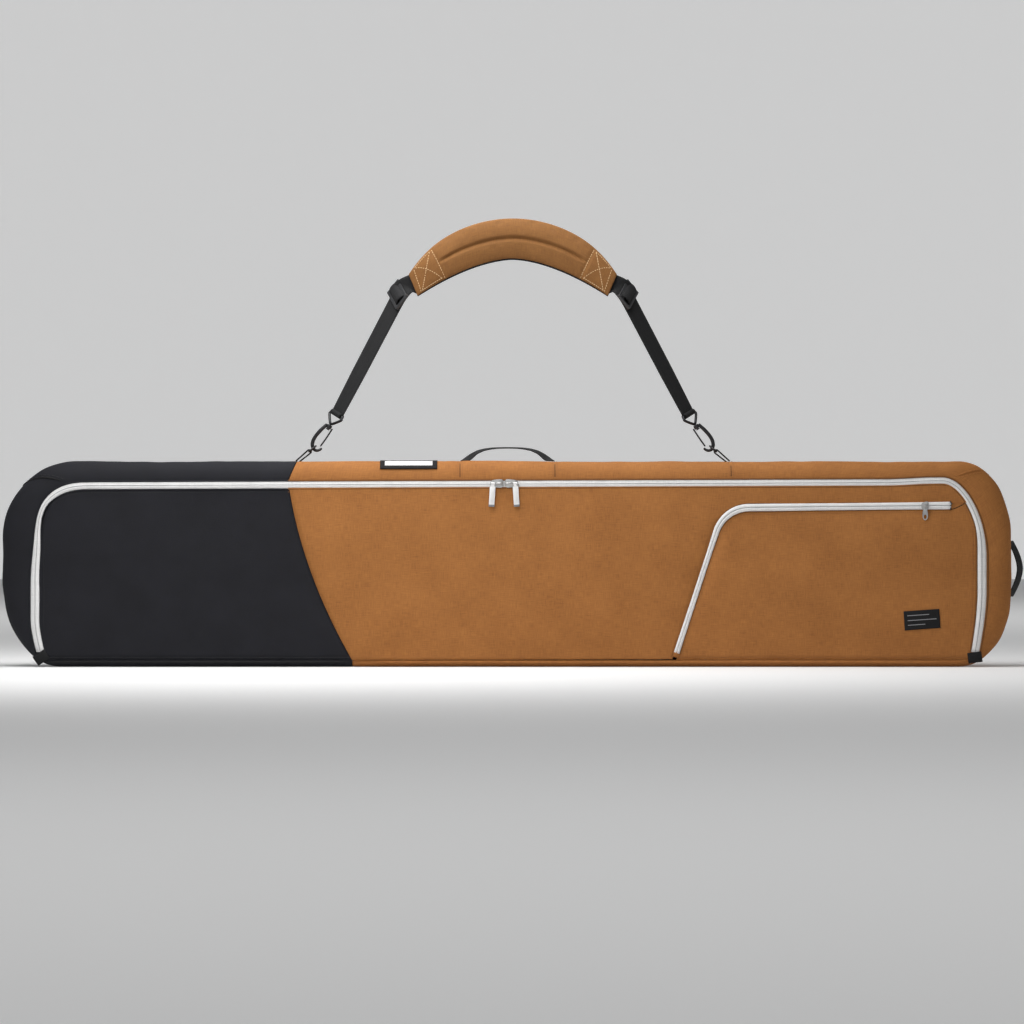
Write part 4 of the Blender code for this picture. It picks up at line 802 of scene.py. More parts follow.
ZIP_GRIDS = {main_zip: (260, 2.30, 0.0), pocket_zip: (120, 0.75, 0.019)}
for name, line, offsets, rises, finish, body, *stands_for in (
        ("zip_tape_outer", main_zip, (0.0062, 0.0060, 0.0053, 0.0040, 0.0003),
         (0.0013, 0.0014, 0.0011, 0.0006, 0.0004), tape_cloth, "bag", "main_zip_tape_shell"),
        ("zip_tape_inner", main_zip, (0.0129, 0.0092, 0.0079, 0.0072, 0.0070),
         (0.0006, 0.0011, 0.0014, 0.0013, 0.0009), tape_cloth, "flap", "main_zip_tape_flap"),
        ("zip_coil", main_zip, (0.0073, 0.0068, 0.0064, 0.0059), (0.0, 0.0005, 0.0005, 0.0), coil_nylon,
         "bag"),
        ("pocket_tape_upper", pocket_zip, (0.0064, 0.0032, 0.0021, 0.0016, 0.0014),
         (0.0010, 0.0016, 0.0019, 0.0018, 0.0014), tape_cloth, "flap", "pocket_zip_tape_upper"),
        ("pocket_tape_lower", pocket_zip, (-0.0014, -0.0016, -0.0021, -0.0032, -0.0064),
         (0.0014, 0.0018, 0.0019, 0.0016, 0.0010), tape_cloth, "flap", "pocket_zip_tape_lower"),
        ("pocket_coil", pocket_zip, (0.0016, 0.0007, -0.0007, -0.0016), (0.0004, 0.0010, 0.0010, 0.0004),
         coil_nylon, "flap")):
    columns, length, start = ZIP_GRIDS[line]
    rows = len(offsets) - 1

    def tape_place(u, v):
        """Point of one tape or coil: u along the zip, v across its rows."""
        spot = line(start + (1.0 - start) * u, offsets[round(v * rows)])
        return Vector((spot.x, BAG_FRONT - rises[round(v * rows)], spot.y))

    work = laid_grid(columns, rows, tape_place, (length, abs(offsets[-1] - offsets[0])))
    sewn_piece(name, work, finish, body, "zip_tape", *stands_for, thick=TAPE_THICK)


def pocket_end_place(u, v):
    """Fold of tan cloth over the pocket zip's foot, tucked into the base seam."""
    spot = pocket_zip(0.010 + 0.020 * v, 0.0078 * (1.0 - 2.0 * u))
    puff = math.sin(math.pi * u) ** 0.7 * math.sin(math.pi * min(1.0, 0.25 + v * 0.85)) ** 0.5
    pleat = 0.0006 * math.sin(9.0 * math.pi * u) * (1.0 - v)
    return Vector((spot.x, BAG_FRONT - 0.0008 - 0.0022 * puff - pleat, spot.y - 0.0015 * (1.0 - v)))


sewn_piece("pocket_zip_foot", laid_grid(18, 8, pocket_end_place, (0.0156, 0.020)), tan_cloth, "flap",
           "tan_fabric", thick=0.0009)

# Shoulder pad: tan cloth round a curved foam core, with one channel sewn along its middle and a
# stitch line across each end. It is blown up by a short cloth simulation, and sewn down after that.
STRAP_MIDDLE = 0.010
PAD_RISE = 0.4246
PAD_WIDTH = 0.0709
PAD_OUTER = (0.1818, 0.075, 0.0236)
PAD_INNER = (0.1661, 0.0649)
PAD_BACK = -0.0029
PAD_SLACK = 0.0045
PAD_EDGE = 0.0030
PAD_CUT = (0.40, 0.085)
PAD_PRESSURE = 4.0
PAD_FRAMES = 20
PAD_CAP = 0.0055
CHANNEL_HALF = 0.128
SEWN_LINE = (0.705, 0.085)
SIDES = ((-1, "left"), (1, "right"))
DEPTH_WAY = Vector((0.0, 1.0, 0.0))
pad_cloth = cloth_finish("pad_cloth", (0.252, 0.112, 0.0320), (0.156, 0.064, 0.0162), 0.0008, 0.82)


def on_strap(side, spot, y=0.0):
    """World place of a strap point given as (distance from the middle, height above the bag)."""
    return Vector((STRAP_MIDDLE + side * spot[0], y, HEIGHT + spot[1]))


def pad_edge(share, outer):
    """Point of the pad's outer or inner edge as (distance, height); share runs from -1 to 1 along it."""
    if outer:
        reach, fall, drop = PAD_OUTER
        return Vector((reach * share, PAD_RISE - fall * share ** 2 - drop * share ** 6))
    reach, fall = PAD_INNER
    return Vector((reach * share, PAD_RISE - PAD_WIDTH - fall * abs(share) ** 1.7))


def on_pad(along, across, y):
    """World place of a share along and across the pad."""
    return on_strap(1, pad_edge(along, False).lerp(pad_edge(along, True), across), y)


def pad_place(u, v):
    """Slack front of the pad before it is blown up: low, rounded towards its edges and ends."""
    along = 2.0 * u - 1.0
    crown = max(0.0, 1.0 - (2.0 * v - 1.0) ** 2) ** 0.5
    ends = min(1.0, 3.2 * (1.0 - abs(along))) ** 0.7
    return on_pad(along, v, PAD_BACK - PAD_EDGE - PAD_SLACK * crown * ends)


def pad_share(x, z):
    """Place on the pad: along it from -1 to 1, and across it from the inner edge (0) to the outer (1)."""
    across = 0.5
    for _ in range(8):
        along = (x - STRAP_MIDDLE) / (PAD_INNER[0] + (PAD_OUTER[0] - PAD_INNER[0]) * across)
        inner, outer = pad_edge(along, False).y, pad_edge(along, True).y
        across = min(1.2, max(-0.2, (z - HEIGHT - inner) / (outer - inner)))
    return along, across


def blown_up(work, pressure, frames, cap):
    """Closed form swollen by a short cloth simulation; its back stays, no point moves further than cap."""
    slack = mesh_of("slack_form", work)
    form = placed("slack_form", slack)
    back = max(vert.co.y for vert in slack.vertices)
    sewn = form.vertex_groups.new(name="sewn")
    sewn.add([vert.index for vert in slack.vertices if vert.co.y > back - 0.0016], 1.0, 'REPLACE')
    swelling = form.modifiers.new("swelling", 'CLOTH')
    swelling.settings.vertex_group_mass = "sewn"
    swelling.settings.use_pressure = True
    swelling.settings.uniform_pressure_force = pressure
    swelling.settings.effector_weights.gravity = 0.0
    swelling.point_cache.frame_end = frames
    for moment in range(1, frames + 1):
        scene.frame_set(moment)
    full = bpy.data.meshes.new_from_object(form.evaluated_get(bpy.context.evaluated_depsgraph_get()))
    scene.frame_set(1)
    work = bmesh.new()
    work.from_mesh(full)
    for vert, before in zip(work.verts, slack.vertices):
        move = vert.co - before.co
        vert.co = before.co + move * min(1.0, cap / max(move.length, cap * 0.01))
    bpy.data.objects.remove(form)
    for used in (slack, full):
        bpy.data.meshes.remove(used)
    return work


def point_order(part):
    """Sorting number of an edge or face by its points; an extrusion leaves them in a new order each run."""
    more_than_points = 4000.0
    numbers = sorted(vert.index for vert in part.verts)
    return sum(number * more_than_points ** k for k, number in enumerate(numbers))


work = laid_grid(72, 20, pad_place, PAD_CUT)
skirt = bmesh.ops.extrude_edge_only(work, edges=[edge for edge in work.edges if edge.is_boundary])["geom"]
for vert in (item for item in skirt if isinstance(item, bmesh.types.BMVert)):
    vert.co.y = PAD_BACK
work.verts.index_update()
for parts in (work.edges, work.faces):
    parts.sort(key=point_order)
bmesh.ops.holes_fill(work, edges=[edge for edge in work.edges if edge.is_boundary])
bmesh.ops.triangulate(work, faces=[face for face in work.faces if len(face.verts) > 4])
bmesh.ops.recalc_face_normals(work, faces=work.faces)
work = blown_up(work, PAD_PRESSURE, PAD_FRAMES, PAD_CAP)
bmesh.ops.subdivide_edges(work, edges=list(work.edges), cuts=1, use_grid_fill=True)
bmesh.ops.smooth_vert(work, verts=list(work.verts), factor=0.5, use_axis_x=True, use_axis_y=True,
                      use_axis_z=True)
for vert in work.verts:
    x, y, z = vert.co
    along, across = pad_share(x, z)
    in_channel = 1.0 / (1.0 + math.exp((abs(along) * PAD_OUTER[0] - CHANNEL_HALF) / 0.004))
    sink = 0.0052 * bell(across - 0.5, 0.045) * in_channel
    sink += 0.0020 * bell(abs(along) - SEWN_LINE[0] - SEWN_LINE[1] * across, 0.016)
    sink -= wave(x * 90.0, 8.0, z * 24.0) * 0.0009 * bell(abs(across - 0.5) - 0.09, 0.06) * in_channel
    sink -= wave(x * 26.0, 2.0, z * 30.0) * 0.0011
    vert.co.y = min(PAD_BACK, y + sink * clamped((PAD_BACK - y - 0.001) / 0.004))
pad_surface = BVHTree.FromBMesh(work)
shoulder_pad = sewn_piece("shoulder_pad", work, pad_cloth, "strap", "tan_fabric", "pad_cover", levels=1)

# Pad back: thin black mesh sewn round the pad's edge, a little larger than the cover, so that it shows
# as a dark line along the inner edge.
WEB_LIGHT = (0.0095, 0.0095, 0.0102)
WEB_DARK = (0.0036, 0.0036, 0.0040)
web_cloth = cloth_finish("black_webbing", WEB_LIGHT, WEB_DARK, 0.0016, 0.76, 0.00040, 0.06)
work = laid_grid(72, 12, lambda u, v: on_pad(1.0 - 2.0 * u, -0.030 + 0.98 * v, -0.0012), PAD_CUT)
sewn_piece("pad_back", work, web_cloth, "strap", "webbing", "pad_backing", thick=0.0014)

# Webbing: flat black polyester strap, 38 mm wide, from under each end of the pad through a plastic
# slide to a hem round the swivel eye's bar; it turns half sideways on the way.
WEB_WIDTH = 0.038
WEB_THICK = 0.0016
WEB_FOOT = Vector((0.3047, 0.0854))
TWIST = math.radians(55.0)
WEB_TURNS = ((0.0, 0.0), (0.07, 6.0), (0.12, 26.0), (0.16, 44.0), (0.21, 48.0), (0.62, 50.0), (1.0, 55.0))
WEB_LEAD = 0.12
WEB_STRAIGHT = 0.62
TWIST_RUN = 0.080
SLIDE_OFFSET = Vector((0.02355, -0.0174))
HOOK_WAY = Vector((0.535, -0.845)).normalized()
HEM_RADIUS = 0.0037
pad_end = pad_edge(1.0, False).lerp(pad_edge(1.0, True), 0.5)
pad_end_way = (pad_edge(1.0, True) - pad_edge(1.0, False)).normalized()
SLIDE_SPOT = pad_end + SLIDE_OFFSET
WEB_WAY = (WEB_FOOT - SLIDE_SPOT).normalized()


def strap_ways(side, way, turn):
    """World ways of a strap part that runs along way: along, level, and across it after its turn."""
    level = Vector((side * -way.y, 0.0, way.x))
    return Vector((side * way.x, 0.0, way.y)), level, level * math.cos(turn) + DEPTH_WAY * math.sin(turn)


for side, word in SIDES:
    tuck = pad_end + Vector((-pad_end_way.y, pad_end_way.x)) * 0.006
    lead = SLIDE_SPOT - WEB_WAY * 0.016
    straight = WEB_FOOT - WEB_WAY * TWIST_RUN

    def webbing_place(u, v):
        """Middle face of one strap: u from the pad to the hem's far side, v across its width."""
        way = WEB_WAY
        if u < WEB_LEAD:
            spot = tuck.lerp(lead, u / WEB_LEAD)
            way = Vector((pad_end_way.y, -pad_end_way.x)).lerp(WEB_WAY, u / WEB_LEAD).normalized()
        elif u < WEB_STRAIGHT:
            spot = lead.lerp(straight, (u - WEB_LEAD) / (WEB_STRAIGHT - WEB_LEAD))
        else:
            share = (u - WEB_STRAIGHT) / (1.0 - WEB_STRAIGHT)
            spot = straight.lerp(WEB_FOOT, share)
            way = WEB_WAY.lerp(HOOK_WAY, share).normalized()
        wide = strap_ways(side, way, math.radians(between(u, WEB_TURNS)))[2]
        return on_strap(side, spot) + wide * (WEB_WIDTH * (v - 0.5))

    bar = on_strap(side, WEB_FOOT + HOOK_WAY * (HEM_RADIUS - 0.0007))
    down, level, bar_way = strap_ways(side, HOOK_WAY, TWIST)
    deep = down.cross(bar_way).normalized()

    def hem_place(u, v):
        """Hem of the webbing, rolled round the eye's bar."""
        angle = 2.0 * math.pi * u
        ring = down * math.cos(angle) + deep * math.sin(angle)
        return bar + bar_way * ((v - 0.5) * (WEB_WIDTH - 0.004)) + ring * HEM_RADIUS

    sewn_piece("strap_webbing_" + word, laid_grid(70, 8, webbing_place, (0.42, WEB_WIDTH)), web_cloth,
               "strap", "webbing", "webbing_" + word, thick=WEB_THICK, offset=0.0)
    work = laid_grid(20, 6, hem_place, (0.023, WEB_WIDTH))
    bmesh.ops.remove_doubles(work, verts=work.verts, dist=0.00002)
    sewn_piece("webbing_hem_" + word, work, web_cloth, "strap", "webbing", thick=0.0012)

# Handles: two lengths of the same black webbing, folded thick, bowed out from the top and from the
# right end; both feet are sewn flat to the gusset.
HANDLE_WIDTH = 0.028
HANDLE_THICK = 0.0020
HANDLE_FOOT = 0.010
END_FEET = (0.218, 0.121)
END_BOW = 0.0240
END_PULLED = 0.0125
SEWN_FLAT = 0.0003
CARRY_FRONT = ((0.0, 0.0226), (0.20, 0.0222), (0.35, 0.0208), (0.50, 0.0180), (0.64, 0.0124), (0.72, 0.0060),
               (0.79, SEWN_FLAT), (1.0, SEWN_FLAT))
CARRY_BACK = ((0.0, 0.0238), (0.20, 0.0236), (0.35, 0.0230), (0.50, 0.0214), (0.64, 0.0186), (0.77, 0.0134),
              (0.88, 0.0070), (0.96, 0.0014), (1.0, SEWN_FLAT))


def carry_place(u, v):
    """Carry handle: flat at its feet, turned up along its back edge beside them, level in the middle."""
    share = abs(2.0 * u - 1.0)
    along = HANDLE_SEAMS[0] + (HANDLE_SEAMS[1] - HANDLE_SEAMS[0]) * u
    front, back = between(share, CARRY_FRONT), between(share, CARRY_BACK)
    return Vector((along, HANDLE_WIDTH * (v - 0.5), HEIGHT + front + (back - front) * v))


def end_place(u, v):
    """End handle: its front edge is pulled in, so that the face of the webbing shows from the front."""
    top, foot = END_FEET
    along = top + (foot - top) * u
    share = (2.0 * along - top - foot) / (foot - top - 2.0 * HANDLE_FOOT)
    rise = SEWN_FLAT + END_BOW * max(0.0, 1.0 - abs(share) ** 1.7)
    pulled = max(SEWN_FLAT, rise - END_PULLED)
    return Vector((HALF_LENGTH + pulled + (rise - pulled) * v, HANDLE_WIDTH * (v - 0.5), along))


for name, place, length in (("carry_handle", carry_place, 0.18), ("end_handle", end_place, 0.11)):
    sewn_piece(name + "_webbing", laid_grid(44, 10, place, (length, HANDLE_WIDTH)), web_cloth, "bag",
               "webbing", name, thick=HANDLE_THICK, offset=1.0, levels=1)

# Name window: clear vinyl over a blank white card, bound with black tape and sewn over the top front
# edge of the tan gusset.
WINDOW_LEFT = -0.220
WINDOW_LENGTH = 0.099
WINDOW_BEND = 0.0262
WINDOW_REACH = 0.0400
BINDING = 0.008
BINDING_LIFT = 0.0009
CARD_CUT = (0.085, 0.052)


def window_point(x, run, lift):
    """Point over the top front edge; run starts at the window's lower edge and goes up and back."""
    lip = lip_height(x, 0.0)
    angle = math.radians(36.0 + 54.0 * min(1.0, run / WINDOW_BEND))
    y = BAG_FRONT + EDGE - (EDGE + lift) * math.cos(angle) + max(0.0, run - WINDOW_BEND)
    return Vector((x, y, lip + (HEIGHT + lift - lip) * math.sin(angle)))


def window_sheet(margin, lift):
    """Place function of a sheet that stays margin inside the window's outline."""
    def place(u, v):
        x = WINDOW_LEFT + margin + (WINDOW_LENGTH - 2.0 * margin) * u
        return window_point(x, margin + (WINDOW_BEND + WINDOW_REACH - 2.0 * margin) * v, lift)
    return place


work = laid_grid(50, 33, window_sheet(0.0, BINDING_LIFT), (WINDOW_LENGTH, WINDOW_BEND + WINDOW_REACH))
opening = []
for face in work.faces:
    middle = face.calc_center_median()
    low = window_point(middle.x, BINDING * 0.8, BINDING_LIFT)
    inside_x = BINDING < middle.x - WINDOW_LEFT < WINDOW_LENGTH - BINDING
    if inside_x and middle.z > low.z and max(middle.y - BAG_FRONT - EDGE, 0.0) < WINDOW_REACH - BINDING:
        opening.append(face)
bmesh.ops.delete(work, geom=opening, context='FACES')
sewn_piece("window_binding", work, web_cloth, "bag", "webbing", "id_window_frame", thick=0.0011, offset=1.0)
card_paper = cloth_finish("white_card", (0.86, 0.86, 0.85), (0.78, 0.78, 0.77), 0.0003, 0.6, 0.00002, 0.0)
sewn_piece("window_card", laid_grid(20, 14, window_sheet(0.0070, 0.0004), CARD_CUT), card_paper, "bag",
           "card", "id_card", thick=0.0003)
clear_vinyl = bpy.data.materials.new("clear_vinyl")
clear_vinyl.use_nodes = True
tree = clear_vinyl.node_tree
shader = tree.nodes["Principled BSDF"]
haze = noise_in(tree, node_in(tree, "ShaderNodeTexCoord").outputs["Object"], 60.0, 3.0)
tree.links.new(sum_of(tree, 'MULTIPLY_ADD', haze, 0.16, 0.10), shader.inputs["Alpha"])
tree.links.new(sum_of(tree, 'MULTIPLY_ADD', haze, 0.10, 0.08), shader.inputs["Roughness"])
tune(shader, {"Base Color": (0.93, 0.93, 0.93, 1.0)})
sewn_piece("window_pane", laid_grid(20, 14, window_sheet(0.0066, 0.0010), CARD_CUT), clear_vinyl, "bag",
           "clear_vinyl", "id_window", thick=0.0004)

# Label: a small black woven patch with plain grey rules in place of words, a little askew, sewn to the
# pocket front near the right end.
LABEL_SPOT = (0.718, 0.082)
LABEL_SIZE = (0.062, 0.033)
LABEL_TURN = math.radians(4.0)
LABEL_LIFT = 0.0004
LABEL_THICK = 0.0009
LABEL_RULES = ((0.0250, 0.006, 0.044), (0.0165, 0.006, 0.056), (0.0085, 0.006, 0.036))
RULE_HALF = 0.0006


def turned(middle, turn, size, u, v):
    """Point (x, z) of a patch of a size, turned about its middle."""
    along, up = (u - 0.5) * size[0], (v - 0.5) * size[1]
    x = middle[0] + along * math.cos(turn) - up * math.sin(turn)
    return x, middle[1] + along * math.sin(turn) + up * math.cos(turn)


label_cloth = cloth_finish("label_cloth", (0.0064, 0.0064, 0.0070), (0.0032, 0.0032, 0.0036), 0.0004, 0.7,
                           0.00008, 0.05)
tree = label_cloth.node_tree
across = node_in(tree, "ShaderNodeSeparateXYZ", [(0, cut_place(tree))]).outputs
rules = 0.0
for height, left, right in LABEL_RULES:
    near = sum_of(tree, 'COMPARE', across[1], height, RULE_HALF)
    inside = sum_of(tree, 'COMPARE', across[0], (left + right) / 2.0, (right - left) / 2.0)
    rules = sum_of(tree, 'MAXIMUM', rules, sum_of(tree, 'MULTIPLY', near, inside))
colour = tree.nodes["Principled BSDF"].inputs["Base Color"]
tree.links.new(mixed(tree, rules, colour.links[0].from_socket, (0.26, 0.26, 0.27, 1.0)), colour)


def label_place(u, v):
    """Point of the label on the flap."""
    return on_flap(*turned(LABEL_SPOT, LABEL_TURN, LABEL_SIZE, u, v), LABEL_LIFT)


work = laid_grid(20, 12, label_place, LABEL_SIZE)
sewn_piece("label", work, label_cloth, "flap", "webbing", "label_patch", thick=LABEL_THICK, offset=1.0)

# Zip end tabs: folded scraps of black cloth sewn over the two ends of the main zip, a little askew. They
# reach from the flap over the hinge to the base and are shaped bent back there; they ride on no body.
END_TAB = (0.0245, 0.0185)
END_TAB_TURNS = (34.0, 8.0)
for side, word in SIDES:
    tab_middle = (lip_side(side, 0.0175, 0.0066), 0.0165)

    def tab_place(u, v):
        """Puffed scrap of cloth, bent back at the bag's end and base."""
        x, z = turned(tab_middle, math.radians(END_TAB_TURNS[side > 0]), END_TAB, u, v)
        puff = (math.sin(math.pi * u) * math.sin(math.pi * v)) ** 0.5
        back = max(0.0, abs(x) - 0.822) * 0.5 + max(0.0, 0.010 - z) * 0.6
        return Vector((x, BAG_FRONT - 0.0012 - 0.0020 * puff + back, max(z, 0.0012)))

    end_tab = sewn_piece("zip_tab_" + word, laid_grid(14, 12, tab_place, END_TAB), web_cloth, None, "webbing",
                         "zip_end_tab_" + word, thick=0.0012)
    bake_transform(end_tab)

# Anchor tabs: short doubled loops of webbing that hold the D-rings, their feet sewn to the top gusset.
# Each loop goes from one foot over the ring's bar and down to the other foot.
RING_WIRE = 0.0018
TAB_WIDTH = 0.024
TAB_THICK = 0.0019
TAB_REACH = 0.0036
TAB_BORE = RING_WIRE + 0.0006
for side, word in SIDES:
    low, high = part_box("anchor_tab_" + word)
    foot_near = on_strap(side, (0.3728, 0.0004))
    foot_far = on_strap(side, (0.3772, 0.0004))
    loop_middle = Vector((high.x - TAB_REACH if side < 0 else low.x + TAB_REACH, 0.0, high.z - TAB_REACH))
    way = ((foot_near + foot_far) / 2.0 - loop_middle).normalized()
    over = Vector((-way.z, 0.0, way.x)) * (side * TAB_BORE)

    def tab_loop(u, v):
        """Loop from one foot up, round the ring's bar and down to the other foot."""
        if u < 0.3:
            spot = foot_near.lerp(loop_middle - over, u / 0.3)
        elif u < 0.7:
            angle = math.pi * (u - 0.3) / 0.4 - math.pi / 2
            spot = loop_middle + over * math.sin(angle) - way * (math.cos(angle) * TAB_BORE)
        else:
            spot = (loop_middle + over).lerp(foot_far, (u - 0.7) / 0.3)
        return Vector((spot.x, TAB_WIDTH * (v - 0.5), spot.z))

    sewn_piece("anchor_loop_" + word, laid_grid(40, 6, tab_loop, (0.040, TAB_WIDTH)), web_cloth, "bag",
               "webbing", "anchor_tab_" + word, thick=TAB_THICK, offset=float(side))

# Swivel snap hooks: black die-cast hooks on riveted stems, each closed by a sprung wire gate. The
# webbing's hem holds the stem's wire eye, and the hook's bow holds the D-ring of the anchor tab.
EYE_WIRE = 0.0024
EYE_HEIGHT = 0.020
EYE_REACH = 0.0213
EYE_OUTLINE = ((0.0, 0.0), (0.85, 0.0), (0.97, 0.15), (1.0, 0.3), (0.6, 0.65), (0.19, 0.95), (0.0, 1.0))
STEM_RADIUS = 0.0020
RIVET_RADIUS = 0.0034
COLLAR_TOP = 0.0226
COLLAR_LENGTH = 0.007
COLLAR_RADIUS = 0.0048
HOOK_LENGTH = 0.0445
HOOK_BULGE = 0.011
HOOK_TRIM = 0.88
HOOK_SHAPE = ((-0.135, 0.53, 0.0024), (-0.01, 0.60, 0.0033), (0.22, 0.84, 0.0037), (0.49, 1.0, 0.0036),
              (0.72, 0.95, 0.0037), (0.89, 0.64, 0.0036), (0.98, 0.14, 0.0032), (0.965, -0.36, 0.0030),
              (0.875, -0.71, 0.0026), (0.775, -0.84, 0.0021))
GATE_WIRE = 0.0014
GATE_SIDE = 0.0068
RING_HALF = 0.0148
RING_BAR = 0.0120
RING_DEPTH = 0.015
SHARP_RIM = 0.9


def grain_group():
    """Fine cast or moulded grain with rubbed, slightly uneven gloss."""
    group, source, sink = surface_group("cast_grain", "Rough")
    rubbed = noise_in(group, source["Place"], 160.0, 5.0)
    rough = sum_of(group, 'MULTIPLY_ADD', rubbed, 0.3, sum_of(group, 'SUBTRACT', source["Rough"], 0.15))
    group.links.new(mixed(group, rubbed, source["Dark"], source["Light"]), sink["Color"])
    group.links.new(rough, sink["Roughness"])
    group.links.new(noise_in(group, source["Place"], 1400.0, 2.0), sink["Height"])
    return group


cast_grain = grain_group()


def hard_finish(name, light, dark, rough, metallic):
    """Metal or plastic finish on Object coordinates."""
    values = {"Light": (*light, 1.0), "Dark": (*dark, 1.0), "Rough": rough}
    return finish_of(name, cast_grain, lambda tree: node_in(tree, "ShaderNodeTexCoord").outputs["Object"],
                     values, 0.00004, 0.6, {"Metallic": metallic})


black_metal = hard_finish("black_metal", (0.050, 0.050, 0.053), (0.016, 0.016, 0.017), 0.36, 0.75)


def smooth_path(points, closed=False):
    """Smooth curve through points or numbers, as a function of a share from 0 to 1."""
    last = len(points) if closed else len(points) - 1

    def spine(share):
        place = (share % 1.0 if closed else clamped(share)) * last
        k = min(int(place), last - 1)
        t = place - k
        steps = (k - 1, k, k + 1, k + 2)
        a, b, c, d = (points[step % last if closed else max(0, min(last, step))] for step in steps)
        return (2.0 * b + (c - a) * t + (2.0 * a - 5.0 * b + 4.0 * c - d) * t ** 2
                + (3.0 * b - a - 3.0 * c + d) * t ** 3) * 0.5

    return spine


def round_tube(spine, size, columns, rows, step, hint, closed=False):
    """Tube of radius size(u) along spine(u); its path never runs along the way hint."""
    def place(u, v):
        before, after = (u - step, u + step) if closed else (max(0.0, u - step), min(1.0, u + step))
        along = (spine(after) - spine(before)).normalized()
        out = along.cross(hint).normalized()
        turn = 2.0 * math.pi * v
        return spine(u) + (out * math.cos(turn) + out.cross(along) * math.sin(turn)) * size(u)

    return laid_grid(columns, rows, place, (0.1, 0.01))


def bent_rod(points, radii, columns, across, closed=False):
    """Round rod bent along points, with rounded ends; radii is one radius, or one for each point."""
    width = smooth_path([radii] * len(points) if isinstance(radii, float) else radii, closed)

    def size(u):
        ends = 1.0 if closed else min(u, 1.0 - u) * columns / 2.0
        return width(u) * math.sqrt(max(0.0, 1.0 - max(0.0, 1.0 - ends) ** 2))

    return welded(round_tube(smooth_path(points, closed), size, columns, 12, 0.3 / columns, across, closed),
                  0.00002)


def joined(*parts):
    """One bmesh made of several."""
    whole = bmesh.new()
    for part in parts:
        mesh = mesh_of("part", part)
        whole.from_mesh(mesh)
        bpy.data.meshes.remove(mesh)
    return whole


def bevelled(work, edges, ease):
    """Round off some edges."""
    bmesh.ops.bevel(work, geom=edges, offset=ease, affect='EDGES', segments=2, profile=0.5, material=-1)
    return work


def rims_eased(work, ease):
    """Round off the sharp rims."""
    return bevelled(work, [edge for edge in work.edges if edge.calc_face_angle(0.0) > SHARP_RIM], ease)


def edges_of(verts):
    """All edges at some points, in the same order in each run."""
    return list(dict.fromkeys(edge for vert in verts for edge in vert.link_edges))


def barrel(half, outside, bore):
    """Tube round the x axis, made by turning a small square."""
    work = bmesh.new()
    square = bmesh.ops.create_circle(work, segments=4, radius=1.0, cap_ends=False)["verts"]
    for vert, (x, reach) in zip(square, ((-half, bore), (half, bore), (half, outside), (-half, outside))):
        vert.co = (x, reach, 0.0)
    spun(work, square, edges_of(square), (1.0, 0.0, 0.0), 20)
    return rims_eased(welded(work, 0.00001), (outside - bore) * 0.25)


for side, word in SIDES:
    bar = on_strap(side, WEB_FOOT + HOOK_WAY * (HEM_RADIUS - 0.0007))
    down, level, bar_way = strap_ways(side, HOOK_WAY, TWIST)
    outline = [*EYE_OUTLINE, *((-wide, drop) for wide, drop in reversed(EYE_OUTLINE[1:-1]))]
    eye_path = [bar + bar_way * (EYE_REACH * wide) + down * (EYE_HEIGHT * drop) for wide, drop in outline]
    base = bar + down * (COLLAR_TOP + COLLAR_LENGTH)
    stem_path = [bar + down * EYE_HEIGHT, bar + down * (COLLAR_TOP + 0.004), base + down * 0.0012]
    rivet_path = [base + down * run for run in (0.0004, 0.0014, 0.0024)]
    eye = joined(bent_rod(eye_path, EYE_WIRE, 72, down.cross(bar_way).normalized(), True),
                 bent_rod(stem_path, STEM_RADIUS, 12, DEPTH_WAY),
                 bent_rod(rivet_path, RIVET_RADIUS, 8, DEPTH_WAY))
    sewn_piece("hook_eye_" + word, eye, black_metal, "strap", "hook_metal", "swivel_eye_" + word)

    hook_path = [base + down * (HOOK_LENGTH * run) + level * (HOOK_BULGE * out) for run, out, _ in HOOK_SHAPE]
    collar = barrel(COLLAR_LENGTH / 2, COLLAR_RADIUS, STEM_RADIUS + 0.0003)
    turn = Vector((1.0, 0.0, 0.0)).rotation_difference(down).to_matrix().to_4x4()
    turn.translation = base - down * (COLLAR_LENGTH / 2)
    bmesh.ops.transform(collar, verts=collar.verts, matrix=turn)
    hook = joined(bent_rod(hook_path, [HOOK_TRIM * wire for _, _, wire in HOOK_SHAPE], 60, DEPTH_WAY), collar)
    sewn_piece("snap_hook_" + word, hook, black_metal, "hook_" + word, "hook_metal", "hook_" + word,
               sharp=50.0)

    gate_path = [base - down * (COLLAR_LENGTH * 0.45) - level * GATE_SIDE,
                 base - down * 0.001 - level * GATE_SIDE,
                 base + down * (HOOK_LENGTH * 0.40) - level * 0.0064,
                 hook_path[-1] - down * 0.0005 + level * 0.0038]
    gate = bent_rod(gate_path, GATE_WIRE, 24, DEPTH_WAY)
    sewn_piece("hook_gate_" + word, gate, black_metal, "gate_" + word, "hook_metal", "gate_" + word)

    low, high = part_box("ring_" + word)
    apex = Vector((high.x - RING_WIRE if side < 0 else low.x + RING_WIRE, 0.0, high.z - RING_WIRE))
    way = (on_strap(side, (0.375, 0.0)) - apex).normalized()
    ring_path = [apex + way * RING_DEPTH + DEPTH_WAY * (RING_BAR * k) for k in (-1.0, 0.0, 1.0)]
    for angle in (math.pi * k / 10 for k in range(11)):
        ring_path.append(apex + way * (RING_DEPTH * 0.9 * (1.0 - math.sin(angle)))
                         + DEPTH_WAY * (RING_HALF * math.cos(angle)))
    ring = bent_rod(ring_path, RING_WIRE - 0.0002, 72, way.cross(DEPTH_WAY), True)
    sewn_piece("d_ring_" + word, ring, black_metal, "bag", "hook_metal", "ring_" + word)

